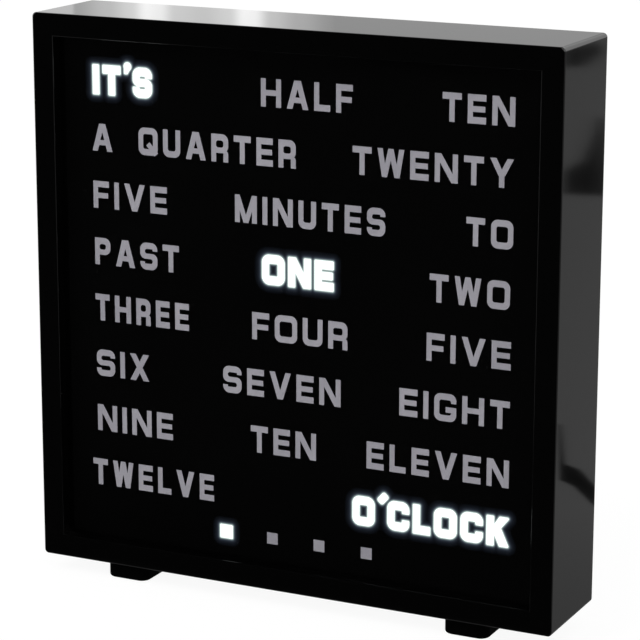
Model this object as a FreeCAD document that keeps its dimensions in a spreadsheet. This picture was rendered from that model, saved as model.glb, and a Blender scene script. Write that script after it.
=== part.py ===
import FreeCAD, Part
import math
import os
import Sketcher
from FreeCAD import Placement, Rotation, Vector

# Word clock, a square desk clock that tells the time in lit words.
#
# Every sub-part is drawn in the clock's own coordinates: x from the centre line, y as depth behind the
# front of the bezel, z as height above the underside of the case. One Placement, the same for all of
# them, then stands the clock on its feet and puts the middle of its depth on the origin.

doc = FreeCAD.newDocument("WordClock")

# ---------------------------------------------------------------- driving dimensions, millimetres

DRIVING = {
    # the moulded case and its bezel
    "case_width": 165.0,
    "case_height": 165.0,
    "case_wall": 3.0,
    "case_round": 1.3,
    "front_round": 0.5,
    "bezel_width": 6.8,
    "bezel_depth": 3.5,
    "bezel_round": 0.5,
    "cover_rim": 1.3,
    # the layers behind the bezel, front to back
    "window_thickness": 2.5,
    "mask_thickness": 0.2,
    "diffuser_thickness": 0.8,
    "baffle_thickness": 3.8,
    "board_thickness": 1.6,
    "layer_gap": 0.3,
    # the lettering
    "cap_height": 8.1,
    "first_row_drop": 19.3,
    "last_row_height": 26.5,
    "text_inset": 16.1,
    "letter_stem": 1.56,
    "letter_bar": 1.85,
    "letter_gap": 1.8,
    "dot_size": 3.5,
    "dot_pitch": 15.2,
    "dot_height": 13.8,
    "cell_margin": 1.6,
    "led_spacing": 12.0,
    # the posts that tie the back cover to the baffle, and their screws
    "post_radius": 3.5,
    "post_inset": 8.2,
    "post_hole_gap": 0.4,
    "well_radius": 3.2,
    "well_wall": 1.4,
    "well_depth": 4.5,
    "well_floor": 1.5,
    "cover_screw_radius": 1.45,
    "cover_screw_grip": 8.0,
    "screw_gap": 0.05,
    "screw_clearance": 0.2,
    "small_screw_radius": 1.1,
    "small_screw_grip": 3.0,
    "board_screw_pitch": 60.0,
    # the feet
    "foot_width": 13.7,
    "foot_length": 25.2,
    "foot_height": 5.15,
    "foot_setback": 2.3,
    "foot_inset": 27.25,
    "foot_corner": 3.0,
    "foot_edge": 0.8,
    "foot_screw_pitch": 7.0,
    "foot_screw_depth": 20.0,
    "foot_screw_grip": 3.8,
    # the back cover and its battery bay
    "cover_thickness": 2.0,
    "cover_inset": 0.8,
    "cover_gap": 0.2,
    "cell_count": 3,
    "cell_radius": 7.25,
    "cell_length": 49.5,
    "cell_nub": 1.0,
    "cell_gap": 0.5,
    "cell_play": 0.4,
    "bay_bottom": 26.0,
    "bay_wall": 2.5,
    "bay_ledge": 1.2,
    "bay_floor": 1.5,
    "bay_clearance": 1.0,
    "spring_length": 5.0,
    "plate_thickness": 0.4,
    "plate_dimple": 0.6,
    "door_thickness": 1.6,
    "door_seat_gap": 0.1,
    "door_gap": 0.3,
    "tab_width": 7.0,
    "tab_spacing": 36.0,
    "tab_thickness": 1.0,
    "tab_neck": 1.2,
    "tab_reach": 1.8,
    # the control board, its switches and the socket
    "control_rise": 11.55,
    "control_overhang": 9.0,
    "control_breadth": 30.0,
    "control_stand_off": 5.9,
    "stand_off_radius": 2.5,
    "stand_off_inset": 3.4,
    "hour_button_x": -22.0,
    "minute_button_x": -6.0,
    "button_radius": 3.0,
    "button_proud": 0.7,
    "button_travel": 0.5,
    "button_flange": 1.2,
    "running_gap": 0.08,
    "switch_size": 6.0,
    "switch_height": 3.5,
    "plunger_radius": 1.75,
    "brightness_x": 16.0,
    "brightness_travel": 2.0,
    "knob_length": 4.0,
    "knob_breadth": 3.4,
    "socket_inset": 26.5,
    "socket_radius": 4.0,
    "socket_bore": 3.15,
    "socket_depth": 9.5,
    "socket_pin": 1.0,
    "lead_radius": 0.6,
}

sheet = doc.addObject("Spreadsheet::Sheet", "Sizes")
for row, (alias, length) in enumerate(DRIVING.items(), 1):
    sheet.set(f"A{row}", alias)
    sheet.set(f"B{row}", str(length))
    sheet.setAlias(f"B{row}", alias)
doc.recompute()


class Size:
    """A length, both as the spreadsheet expression that gives it and as its number of millimetres."""

    def __init__(self, text, number):
        self.text = text
        self.number = number

    def __float__(self):
        return float(self.number)

    def __add__(self, other):
        other = size(other)
        return Size(f"({self.text} + {other.text})", self.number + other.number)

    def __sub__(self, other):
        other = size(other)
        return Size(f"({self.text} - {other.text})", self.number - other.number)

    def __mul__(self, other):
        other = size(other)
        return Size(f"({self.text} * {other.text})", self.number * other.number)

    def __truediv__(self, other):
        other = size(other)
        return Size(f"({self.text} / {other.text})", self.number / other.number)

    def __neg__(self):
        return Size(f"(-{self.text})", -self.number)


def size(value):
    """A plain number or a sheet alias as a Size."""
    if isinstance(value, Size):
        return value
    if isinstance(value, str):
        return Size(f"Sizes.{value}", float(getattr(sheet, value)))
    return Size(f"({value:.6g})", float(value))


# ---------------------------------------------------------------- depths that several sub-parts share

# The layers follow one another from the bezel to the battery door, so the cells set the case's depth.
WINDOW_FRONT = size("bezel_depth")
MASK_FRONT = WINDOW_FRONT + size("window_thickness")
DIFFUSER_FRONT = MASK_FRONT + size("mask_thickness")
BAFFLE_FRONT = DIFFUSER_FRONT + size("diffuser_thickness")
LED_BOARD_FRONT = BAFFLE_FRONT + size("baffle_thickness")
LED_BOARD_BACK = LED_BOARD_FRONT + size("board_thickness")
BAY_FLOOR_FRONT = LED_BOARD_BACK + size("bay_clearance")
BAY_FLOOR_BACK = BAY_FLOOR_FRONT + size("bay_floor")
BAY_LEDGE = BAY_FLOOR_BACK + size("cell_radius") * 2 + size("cell_play")
DOOR_FRONT = BAY_LEDGE + size("door_seat_gap")
COVER_BACK = DOOR_FRONT + size("door_thickness")
COVER_FRONT = COVER_BACK - size("cover_thickness")
CASE_DEPTH = COVER_BACK + size("cover_inset")
WELL_FLOOR_BACK = COVER_BACK - size("well_depth")
WELL_FLOOR_FRONT = WELL_FLOOR_BACK - size("well_floor")
CONTROL_BACK = COVER_FRONT - size("control_stand_off")
CONTROL_FRONT = CONTROL_BACK - size("board_thickness")
HALF_CAVITY = size("case_width") / 2 - size("case_wall")
HALF_LAYER = HALF_CAVITY - size("layer_gap")
MIDDLE_HEIGHT = size("case_height") / 2
POST_X = size("case_width") / 2 - size("post_inset")
POST_Z = size("case_height") / 2 - size("post_inset")
BOARD_SCREW_Z = size("board_screw_pitch") / 2
CORNERS = [(side, end) for side in (-1, 1) for end in (-1, 1)]
POSTS = [(POST_X * side, MIDDLE_HEIGHT + POST_Z * end) for side, end in CORNERS]
BOARD_SCREWS = [(POST_X * side, MIDDLE_HEIGHT + BOARD_SCREW_Z * end) for side, end in CORNERS]

# ---------------------------------------------------------------- ways of making a sub-part

subparts = []


def seat(part, label):
    """Give a sub-part its name and the clock's common Placement."""
    part.Label = label
    part.setExpression("Placement.Base.y", (-CASE_DEPTH / 2).text)
    part.setExpression("Placement.Base.z", "Sizes.foot_height")
    subparts.append(part)
    return part


def new_body(label):
    return seat(doc.addObject("PartDesign::Body", label), label)


def solid_part(label, shapes):
    """A sub-part whose solids are made with Part's own functions."""
    part = doc.addObject("Part::Feature", label)
    part.Shape = Part.makeCompound(shapes)
    return seat(part, label)


def new_sketch(body, name, depth=None, height=None):
    """A sketch facing the front at a depth, or lying flat at a height."""
    role = "XY_Plane" if depth is None else "XZ_Plane"
    sketch = body.newObject("Sketcher::SketchObject", f"{body.Label}_{name}")
    origin_plane = next(item for item in body.Origin.OriginFeatures if item.Role == role)
    sketch.AttachmentSupport = [(origin_plane, "")]
    sketch.MapMode = "FlatFace"
    offset = size(height) if depth is None else -size(depth)
    sketch.setExpression("AttachmentOffset.Base.z", offset.text)
    return sketch


def bind(sketch, kind, where, length):
    """Add one distance constraint whose value comes from the sheet."""
    number = sketch.addConstraint(Sketcher.Constraint(kind, *where, float(length)))
    sketch.setExpression(f"Constraints[{number}]", length.text)


def rectangle(sketch, left, right, low, high):
    left, right, low, high = (size(side) for side in (left, right, low, high))
    corners = [(left, low), (right, low), (right, high), (left, high)]
    points = [Vector(float(across), float(up), 0) for across, up in corners]
    first = sketch.GeometryCount
    for start, end in zip(points, points[1:] + points[:1]):
        sketch.addGeometry(Part.LineSegment(start, end))
    for side in range(4):
        following = first + (side + 1) % 4
        sketch.addConstraint(Sketcher.Constraint("Coincident", first + side, 2, following, 1))
    for side, kind in enumerate(("Horizontal", "Vertical", "Horizontal", "Vertical")):
        sketch.addConstraint(Sketcher.Constraint(kind, first + side))
    for corner, across, up in ((0, left, low), (2, right, high)):
        bind(sketch, "DistanceX", (-1, 1, first + corner, 1), across)
        bind(sketch, "DistanceY", (-1, 1, first + corner, 1), up)


def circle(sketch, across, up, radius):
    across, up, radius = size(across), size(up), size(radius)
    centre = Vector(float(across), float(up), 0)
    number = sketch.addGeometry(Part.Circle(centre, Vector(0, 0, 1), float(radius)))
    bind(sketch, "DistanceX", (-1, 1, number, 3), across)
    bind(sketch, "DistanceY", (-1, 1, number, 3), up)
    bind(sketch, "Radius", (number,), radius)


def pad(body, sketch, length, towards_back=True):
    """Grow a front-facing sketch towards the back, or a flat one downwards."""
    feature = body.newObject("PartDesign::Pad", f"{sketch.Name}_pad")
    feature.Profile = sketch
    feature.setExpression("Length", size(length).text)
    feature.Reversed = towards_back
    sketch.Visibility = False
    return feature


def pocket(body, sketch, length, upwards=False):
    """Cut from a front-facing sketch towards the back, or from a flat one down or upwards."""
    feature = body.newObject("PartDesign::Pocket", f"{sketch.Name}_pocket")
    feature.Profile = sketch
    feature.setExpression("Length", size(length).text)
    feature.Reversed = upwards
    return feature


def round_edges(body, name, radius, picked):
    """Fillet the edges of the body so far for which picked(edge) is true."""
    doc.recompute()
    base = body.Tip
    edges = [f"Edge{number}" for number, edge in enumerate(base.Shape.Edges, 1) if picked(edge)]
    fillet = body.newObject("PartDesign::Fillet", f"{body.Label}_{name}")
    fillet.Base = (base, edges)
    fillet.setExpression("Radius", size(radius).text)


def all_at(edge, axis, place, tolerance=0.01):
    """Whether every end of an edge lies at one place along an axis."""
    return all(abs(getattr(vertex, axis) - float(place)) < tolerance for vertex in edge.Vertexes)


def plate(label, depth, thickness, half_width, half_height):
    """A flat sheet, centred in the case."""
    body = new_body(label)
    outline = new_sketch(body, "outline", depth=depth)
    rectangle(outline, -half_width, half_width, MIDDLE_HEIGHT - half_height, MIDDLE_HEIGHT + half_height)
    pad(body, outline, thickness)
    return body


def block(left, right, front, back, low, high):
    """A plain box from its six faces."""
    left, right, front, back, low, high = (float(face) for face in (left, right, front, back, low, high))
    return Part.makeBox(right - left, back - front, high - low, Vector(left, front, low))


def rod(radius, x, front, back, z):
    """A cylinder that runs from front to back."""
    start = Vector(float(x), float(front), float(z))
    return Part.makeCylinder(float(radius), float(back) - float(front), start, Vector(0, 1, 0))


def joined(shapes):
    """One solid from shapes that touch or overlap."""
    return shapes[0].multiFuse(shapes[1:]).removeSplitter() if len(shapes) > 1 else shapes[0]


def screw(radius, length, head_radius, head_height):
    """A pan-head screw with a cross recess: seat of the head at the origin, shank downwards."""
    head = Part.makeCylinder(head_radius, head_height)
    rim = [edge for edge in head.Edges if all_at(edge, "Z", head_height)]
    head = head.makeFillet(head_height * 0.6, rim)
    shank = Part.makeCylinder(radius, length, Vector(0, 0, -length))
    tip = [edge for edge in shank.Edges if all_at(edge, "Z", -length)]
    shank = shank.makeChamfer(radius * 0.5, tip)
    slot_half = head_radius * 0.62
    slot_side = head_radius * 0.13
    slot_floor = head_height * 0.45
    recess = [
        block(-slot_half, slot_half, -slot_side, slot_side, slot_floor, head_height + 1),
        block(-slot_side, slot_side, -slot_half, slot_half, slot_floor, head_height + 1),
    ]
    return head.fuse(shank).cut(recess[0]).cut(recess[1]).removeSplitter()


HEAD_BACKWARD = Rotation(Vector(1, 0, 0), -90)
HEAD_FORWARD = Rotation(Vector(1, 0, 0), 90)
HEAD_UP = Rotation()


def set_at(shape, x, depth, z, rotation=HEAD_UP):
    """A copy of a shape, turned and moved to a place."""
    moved = shape.copy()
    moved.Placement = Placement(Vector(float(x), float(depth), float(z)), rotation)
    return moved


# ---------------------------------------------------------------- front case

# One gloss moulding: four walls and the bezel, whose flat lip holds the layers from the front. The back
# end of the walls is stepped to take the cover.
front_case = new_body("front_case")
HALF_WIDTH = size("case_width") / 2
APERTURE_HALF = HALF_WIDTH - size("bezel_width")
outline = new_sketch(front_case, "outline", depth=0)
rectangle(outline, -HALF_WIDTH, HALF_WIDTH, 0, "case_height")
pad(front_case, outline, CASE_DEPTH)
round_edges(front_case, "corners", "case_round", lambda edge: edge.BoundBox.YLength > sheet.case_wall)
round_edges(front_case, "front_edges", "front_round", lambda edge: all_at(edge, "Y", 0))

aperture = new_sketch(front_case, "aperture", depth=0)
APERTURE_TOP = size("case_height") - size("bezel_width")
rectangle(aperture, -APERTURE_HALF, APERTURE_HALF, "bezel_width", APERTURE_TOP)
pocket(front_case, aperture, "bezel_depth")


def on_aperture(edge):
    inside = all(abs(vertex.X) < float(APERTURE_HALF) + 0.01 for vertex in edge.Vertexes)
    return inside and all_at(edge, "Y", 0)


round_edges(front_case, "lip", "bezel_round", on_aperture)

cavity = new_sketch(front_case, "cavity", depth="bezel_depth")
rectangle(cavity, -HALF_CAVITY, HALF_CAVITY, "case_wall", size("case_height") - size("case_wall"))
pocket(front_case, cavity, CASE_DEPTH - size("bezel_depth"))

rebate = new_sketch(front_case, "cover_step", depth=COVER_FRONT)
REBATE_HALF = HALF_WIDTH - size("cover_rim")
rectangle(rebate, -REBATE_HALF, REBATE_HALF, "cover_rim", size("case_height") - size("cover_rim"))
pocket(front_case, rebate, CASE_DEPTH - COVER_FRONT)

FOOT_X = HALF_WIDTH - size("foot_inset")
FOOT_SCREW_STEP = size("foot_screw_pitch") / 2
FOOT_SCREWS = [(FOOT_X * side, size("foot_screw_depth") + FOOT_SCREW_STEP * end) for side, end in CORNERS]
foot_holes = new_sketch(front_case, "foot_holes", height=0)
for across, depth in FOOT_SCREWS:
    circle(foot_holes, across, depth, size("cover_screw_radius") + size("screw_clearance"))
pocket(front_case, foot_holes, "case_wall", upwards=True)

# ---------------------------------------------------------------- window and diffuser

HALF_LAYER_HEIGHT = size("case_height") / 2 - size("case_wall") - size("layer_gap")
plate("front_window", WINDOW_FRONT, "window_thickness", HALF_LAYER, HALF_LAYER_HEIGHT)
plate("diffuser_sheet", DIFFUSER_FRONT, "diffuser_thickness", HALF_LAYER, HALF_LAYER_HEIGHT)

# ---------------------------------------------------------------- lettering

# Letters are drawn as strokes of one stem and one bar width with rounded square bowls. Each lies in the
# layer of the mask, from its front to its back.
INK_FRONT = float(MASK_FRONT)
INK = sheet.mask_thickness
CAP = sheet.cap_height
STEM = sheet.letter_stem
BAR = sheet.letter_bar
BOWL_ROUND = 2.0
COUNTER_ROUND = 0.7
LEG = STEM * 1.12
THIN_BAR = BAR * 0.86
OPEN_LOW = CAP * 0.34
OPEN_HIGH = CAP - OPEN_LOW


def stroke_box(left, low, right, high):
    return Part.makeBox(right - left, INK, high - low, Vector(left, INK_FRONT, low))


def slab(*points):
    """A straight-sided stroke through the given corners."""
    corners = [Vector(across, INK_FRONT, up) for across, up in points]
    return Part.Face(Part.makePolygon(corners + corners[:1])).extrude(Vector(0, INK, 0))


def slant(foot, top, low, high, width):
    """A slanting stroke of one width, measured level, from the left edges of its foot and top."""
    return slab((foot, low), (foot + width, low), (top + width, high), (top, high))


def rounded(left, low, right, high, low_left=0.0, low_right=0.0, high_right=0.0, high_left=0.0):
    """A box with a radius at each of its corners, where zero is a square corner."""
    corners = [
        (left, low, 1, 1, low_left),
        (right, low, -1, 1, low_right),
        (right, high, -1, -1, high_right),
        (left, high, 1, -1, high_left),
    ]
    ends = []
    arcs = []
    for number, (x, z, inward, upward, radius) in enumerate(corners):
        along_x = Vector(x + inward * radius, INK_FRONT, z)
        along_z = Vector(x, INK_FRONT, z + upward * radius)
        first, last = (along_z, along_x) if number % 2 == 0 else (along_x, along_z)
        ends.append((first, last))
        if radius:
            off = radius * (1 - math.sqrt(0.5))
            middle = Vector(x + inward * off, INK_FRONT, z + upward * off)
            arcs.append(Part.Arc(first, middle, last).toShape())
    lines = [
        Part.makeLine(ends[number][1], ends[(number + 1) % 4][0])
        for number in range(4)
        if ends[number][1].distanceToPoint(ends[(number + 1) % 4][0]) > 1e-6
    ]
    return Part.Face(Part.Wire(Part.__sortEdges__(arcs + lines))).extrude(Vector(0, INK, 0))


def ring(width):
    outer = rounded(0, 0, width, CAP, *[BOWL_ROUND] * 4)
    return outer.cut(rounded(STEM, BAR, width - STEM, CAP - BAR, *[COUNTER_ROUND] * 4))


def stem_left():
    return stroke_box(0, 0, STEM, CAP)


def stem_right(width):
    return stroke_box(width - STEM, 0, width, CAP)


def letter_a(width):
    apex = LEG * 0.6
    rise = CAP / (width / 2 - apex)
    low, high = CAP * 0.22, CAP * 0.41
    outer = slab((0, 0), (width, 0), (width / 2 + apex, CAP), (width / 2 - apex, CAP))
    foot = slab((LEG, 0), (width - LEG, 0), (width - LEG - low / rise, low), (LEG + low / rise, low))
    peak = (width / 2 - LEG) * rise
    counter = slab((LEG + high / rise, high), (width - LEG - high / rise, high), (width / 2, peak))
    return outer.cut(foot).cut(counter)


def letter_c(width):
    return ring(width).cut(stroke_box(width - STEM - 0.3, OPEN_LOW, width + 1, OPEN_HIGH))


def letter_e(width):
    middle = CAP / 2
    return joined(
        [
            stem_left(),
            stroke_box(0, 0, width, BAR),
            stroke_box(0, middle - THIN_BAR / 2, width * 0.95, middle + THIN_BAR / 2),
            stroke_box(0, CAP - BAR, width, CAP),
        ]
    )


def letter_f(width):
    middle = CAP * 0.47
    return joined(
        [
            stem_left(),
            stroke_box(0, middle - THIN_BAR / 2, width * 0.94, middle + THIN_BAR / 2),
            stroke_box(0, CAP - BAR, width, CAP),
        ]
    )


def letter_g(width):
    shelf = CAP * 0.52
    opened = ring(width).cut(stroke_box(width - STEM - 0.3, shelf, width + 1, OPEN_HIGH))
    return joined([opened, stroke_box(width * 0.52, shelf - THIN_BAR, width, shelf)])


def letter_h(width):
    middle = CAP / 2
    bar = stroke_box(0, middle - THIN_BAR / 2, width, middle + THIN_BAR / 2)
    return joined([stem_left(), bar, stem_right(width)])


def letter_i(width):
    return stroke_box(0, 0, width, CAP)


def letter_k(width):
    level = LEG * 1.25
    arm = slab((STEM * 0.9, CAP * 0.3), (width, CAP), (width - level, CAP), (STEM * 0.9, CAP * 0.56))
    fork = [(STEM + LEG * 1.2, CAP * 0.62), (STEM + LEG * 0.35, CAP * 0.42)]
    leg = slab((width - level, 0), (width, 0), *fork)
    return joined([stem_left(), arm, leg])


def letter_l(width):
    return joined([stem_left(), stroke_box(0, 0, width, BAR)])


def letter_m(width):
    foot = width / 2 - STEM / 2
    return joined(
        [
            stem_left(),
            slant(foot, 0, 0, CAP, STEM),
            slant(foot, width - STEM, 0, CAP, STEM),
            stem_right(width),
        ]
    )


def letter_n(width):
    return joined([stem_left(), slant(width - LEG * 1.1, 0, 0, CAP, LEG * 1.1), stem_right(width)])


def letter_p(width):
    low = CAP * 0.37
    bowl = rounded(0, low, width, CAP, 0, BOWL_ROUND, BOWL_ROUND, 0)
    counter = rounded(STEM, low + THIN_BAR, width - STEM, CAP - BAR, *[COUNTER_ROUND] * 4)
    return joined([stem_left(), bowl]).cut(counter)


def letter_q(width):
    tail = slab(
        (width * 0.40, CAP * 0.36),
        (width - STEM * 0.72, -CAP * 0.02),
        (width + STEM * 0.1, CAP * 0.10),
        (width * 0.58, CAP * 0.48),
    )
    return joined([ring(width), tail])


def letter_r(width):
    low = CAP * 0.42
    leg = rounded(width - STEM, 0, width, low, 0, 0, STEM * 0.7, 0)
    bowl = rounded(0, low - THIN_BAR / 2, width, CAP, 0, BOWL_ROUND, BOWL_ROUND, 0)
    counter = rounded(STEM, low + THIN_BAR / 2, width - STEM, CAP - BAR, *[COUNTER_ROUND] * 4)
    return joined([stem_left(), bowl, leg]).cut(counter)


def letter_s(width):
    """Two halves, each the other turned half round."""
    low, high = CAP / 2 - THIN_BAR / 2, CAP / 2 + THIN_BAR / 2
    waist = BOWL_ROUND * 0.85
    half = rounded(0, low, width, CAP, waist, 0, BOWL_ROUND, BOWL_ROUND)
    counter = rounded(STEM, high, width - STEM, CAP - BAR, COUNTER_ROUND, 0, 0, COUNTER_ROUND)
    half = half.cut(counter)
    half = half.cut(stroke_box(width - STEM - 0.01, high, width + 1, CAP * 0.7))
    half = half.cut(stroke_box(width - waist, low - 1, width + 1, high + 0.01))
    turned = half.copy()
    turned.rotate(Vector(width / 2, INK_FRONT, CAP / 2), Vector(0, 1, 0), 180)
    return joined([half, turned])


def letter_t(width):
    middle = width / 2
    stem = stroke_box(middle - STEM / 2, 0, middle + STEM / 2, CAP)
    return joined([stem, stroke_box(0, CAP - BAR, width, CAP)])


def letter_u(width):
    outer = rounded(0, 0, width, CAP, BOWL_ROUND, BOWL_ROUND)
    return outer.cut(rounded(STEM, BAR, width - STEM, CAP + 1, COUNTER_ROUND, COUNTER_ROUND))


def letter_v(width):
    foot = width / 2 - LEG / 2
    return joined([slant(foot, 0, 0, CAP, LEG), slant(foot, width - LEG, 0, CAP, LEG)])


def letter_w(width):
    foot = width * 0.17
    peak = width / 2 - STEM / 2
    other_foot = width - foot - STEM
    return joined(
        [
            slant(foot, 0, 0, CAP, STEM),
            slant(foot, peak, 0, CAP, STEM),
            slant(other_foot, peak, 0, CAP, STEM),
            slant(other_foot, width - STEM, 0, CAP, STEM),
        ]
    )


def letter_x(width):
    level = LEG * 1.12
    return joined([slant(0, width - level, 0, CAP, level), slant(width - level, 0, 0, CAP, level)])


def letter_y(width):
    level = LEG * 1.08
    fork = CAP * 0.40
    middle = width / 2
    return joined(
        [
            stroke_box(middle - STEM / 2, 0, middle + STEM / 2, fork + level / 2),
            slant(middle - level / 2, 0, fork, CAP, level),
            slant(middle - level / 2, width - level, fork, CAP, level),
        ]
    )


def curled_apostrophe(width):
    """A round head above the capitals, with a tail that narrows down its left side."""
    middle, height, radius = width / 2 + 0.3, CAP + 0.35, 0.9
    head = Part.makeCylinder(radius, INK, Vector(middle, INK_FRONT, height), Vector(0, 1, 0))
    tip = CAP - 1.5
    tail = slab(
        (middle - 0.8, tip),
        (middle - 0.25, tip),
        (middle + 0.8, height - 0.25),
        (middle - 0.8, height + 0.1),
    )
    return joined([head, tail])


def leaning_apostrophe(width):
    """A short stroke with blunt ends that leans over the next letter."""
    middle, height, half_length = width / 2 + 0.6, CAP + 0.6, 1.35
    low, high = height - STEM / 2, height + STEM / 2
    stroke = rounded(middle - half_length, low, middle + half_length, high, *[0.35] * 4)
    stroke.rotate(Vector(middle, 0, height), Vector(0, -1, 0), 48)
    return stroke


# each letter's drawing and its usual width; a stretched word keeps the width of its I and apostrophe
LETTERS = {
    "A": (letter_a, 6.7),
    "C": (letter_c, 6.4),
    "E": (letter_e, 5.35),
    "F": (letter_f, 5.1),
    "G": (letter_g, 6.4),
    "H": (letter_h, 6.3),
    "I": (letter_i, STEM),
    "K": (letter_k, 6.2),
    "L": (letter_l, 4.95),
    "M": (letter_m, 7.4),
    "N": (letter_n, 6.6),
    "O": (ring, 6.6),
    "P": (letter_p, 5.4),
    "Q": (letter_q, 6.5),
    "R": (letter_r, 5.6),
    "S": (letter_s, 5.9),
    "T": (letter_t, 5.6),
    "U": (letter_u, 5.8),
    "V": (letter_v, 6.7),
    "W": (letter_w, 7.8),
    "X": (letter_x, 6.1),
    "Y": (letter_y, 6.7),
    "'": (curled_apostrophe, 1.1),
    "`": (leaning_apostrophe, 1.1),
}
KEPT_WIDTH = "I'`"


def lettering(text, left, width, baseline):
    """The letters of a word, spread so that it starts at left and is width long."""
    fixed = [LETTERS[letter][1] for letter in text if letter in KEPT_WIDTH]
    spread = [LETTERS[letter][1] for letter in text if letter not in KEPT_WIDTH]
    gaps = sheet.letter_gap * (len(text) - 1)
    stretch = (width - gaps - sum(fixed)) / sum(spread)
    shapes = []
    across = left
    for letter in text:
        drawing, usual = LETTERS[letter]
        own_width = usual if letter in KEPT_WIDTH else usual * stretch
        shape = drawing(own_width)
        shape.translate(Vector(across, 0, float(baseline)))
        shapes.append(shape)
        across += own_width + sheet.letter_gap
    return shapes


# the words by row from the top, each text with its left edge and its width, in rows that reach 66.4 mm to
# either side
ROWS_HALF_WIDTH = 66.4
ROWS = [
    {
        "word_its": [("IT'S", -65.6, 19.1)],
        "word_half": [("HALF", -10.9, 28.7)],
        "word_ten_minutes": [("TEN", 44.9, 21.4)],
    },
    {
        "word_a_quarter": [("A", -66.4, 6.7), ("QUARTER", -50.9, 51.0)],
        "word_twenty": [("TWENTY", 17.8, 48.4)],
    },
    {
        "word_five_minutes": [("FIVE", -66.4, 24.7)],
        "word_minutes": [("MINUTES", -19.4, 47.4)],
        "word_to": [("TO", 52.5, 13.9)],
    },
    {
        "word_past": [("PAST", -66.2, 28.3)],
        "word_one": [("ONE", -10.35, 22.1)],
        "word_two": [("TWO", 41.7, 24.1)],
    },
    {
        "word_three": [("THREE", -66.4, 31.6)],
        "word_four": [("FOUR", -14.0, 30.5)],
        "word_five": [("FIVE", 41.0, 25.4)],
    },
    {
        "word_six": [("SIX", -66.3, 17.9)],
        "word_seven": [("SEVEN", -23.6, 38.0)],
        "word_eight": [("EIGHT", 32.8, 33.6)],
    },
    {
        "word_nine": [("NINE", -66.3, 25.7)],
        "word_ten": [("TEN", -14.6, 21.2)],
        "word_eleven": [("ELEVEN", 22.7, 43.8)],
    },
    {
        "word_twelve": [("TWELVE", -68.2, 41.3)],
        "word_oclock": [("O`CLOCK", 18.7, 47.7)],
    },
]

# Translucent inlays, one sub-part for each word, and the light cell that each needs behind it. The rows
# share the height of the case, and the words move apart with its width.
ROW_SPAN = size("case_height") - size("first_row_drop") - size("last_row_height")
ROW_PITCH = ROW_SPAN / (len(ROWS) - 1)
SPREAD = float(HALF_WIDTH - size("text_inset")) / ROWS_HALF_WIDTH
inlays = []
cells = []
for row, words in enumerate(ROWS, 1):
    row_height = size("last_row_height") + ROW_PITCH * (len(ROWS) - row)
    baseline = row_height - size("cap_height") / 2
    for node, texts in words.items():
        letters = []
        left, right = texts[0][1], texts[-1][1] + texts[-1][2]
        shift = (left + right) / 2 * (SPREAD - 1)
        for text, start, width in texts:
            letters += lettering(text, start + shift, width, baseline)
        solid_part(node, letters)
        inlays += letters
        low, high = baseline, baseline + size("cap_height")
        cells.append((size(left + shift), size(right + shift), low, high, row_height))

# Four square dots below the words count the minutes past each five.
DOT_HALF = size("dot_size") / 2
DOT_LOW = size("dot_height") - DOT_HALF
DOT_HIGH = size("dot_height") + DOT_HALF
dots = []
for number in range(4):
    middle = size("dot_pitch") * (number - 1.5)
    left, right = middle - DOT_HALF, middle + DOT_HALF
    dots.append(block(left, right, MASK_FRONT, DIFFUSER_FRONT, DOT_LOW, DOT_HIGH))
    cells.append((left, right, DOT_LOW, DOT_HIGH, size("dot_height")))
solid_part("minute_dot_1", dots[:1])
solid_part("minute_dots_2_to_4", dots[1:])

# The black print on the back of the window leaves the letters and dots open; the islands inside the
# closed letters belong to it.
sheet_of_print = block(
    -HALF_LAYER,
    HALF_LAYER,
    MASK_FRONT,
    DIFFUSER_FRONT,
    MIDDLE_HEIGHT - HALF_LAYER_HEIGHT,
    MIDDLE_HEIGHT + HALF_LAYER_HEIGHT,
)
solid_part("printed_mask", sheet_of_print.cut(inlays + dots).Solids)

# ---------------------------------------------------------------- light baffle

# A black moulding with a cell behind each word, so that a lit word throws no light on its neighbours.
# Its four posts reach back through the LED board to the cover.
light_baffle = plate("light_baffle", BAFFLE_FRONT, "baffle_thickness", HALF_LAYER, HALF_LAYER_HEIGHT)
openings = new_sketch(light_baffle, "cells", depth=BAFFLE_FRONT)
MARGIN = size("cell_margin")
for left, right, low, high, _ in cells:
    rectangle(openings, left - MARGIN, right + MARGIN, low - MARGIN, high + MARGIN)
pocket(light_baffle, openings, "baffle_thickness")
posts = new_sketch(light_baffle, "posts", depth=LED_BOARD_FRONT)
for across, up in POSTS:
    circle(posts, across, up, "post_radius")
pad(light_baffle, posts, WELL_FLOOR_FRONT - LED_BOARD_FRONT)

PILOT_SPARE = 0.3
cover_screw_grip = size("cover_screw_grip") + PILOT_SPARE
post_pilots = new_sketch(light_baffle, "post_pilots", depth=WELL_FLOOR_FRONT - cover_screw_grip)
for across, up in POSTS:
    circle(post_pilots, across, up, size("cover_screw_radius") + size("screw_gap"))
pocket(light_baffle, post_pilots, cover_screw_grip)
small_screw_grip = size("small_screw_grip") + PILOT_SPARE
board_pilots = new_sketch(light_baffle, "board_pilots", depth=LED_BOARD_FRONT - small_screw_grip)
for across, up in BOARD_SCREWS:
    circle(board_pilots, across, up, size("small_screw_radius") + size("screw_gap"))
pocket(light_baffle, board_pilots, small_screw_grip)

# ---------------------------------------------------------------- LED board and what is soldered to it

led_board = plate("led_board", LED_BOARD_FRONT, "board_thickness", HALF_LAYER, HALF_LAYER_HEIGHT)
board_holes = new_sketch(led_board, "holes", depth=LED_BOARD_FRONT)
for across, up in POSTS:
    circle(board_holes, across, up, size("post_radius") + size("post_hole_gap"))
for across, up in BOARD_SCREWS:
    circle(board_holes, across, up, size("small_screw_radius") + size("screw_clearance"))
pocket(led_board, board_holes, "board_thickness")

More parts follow.
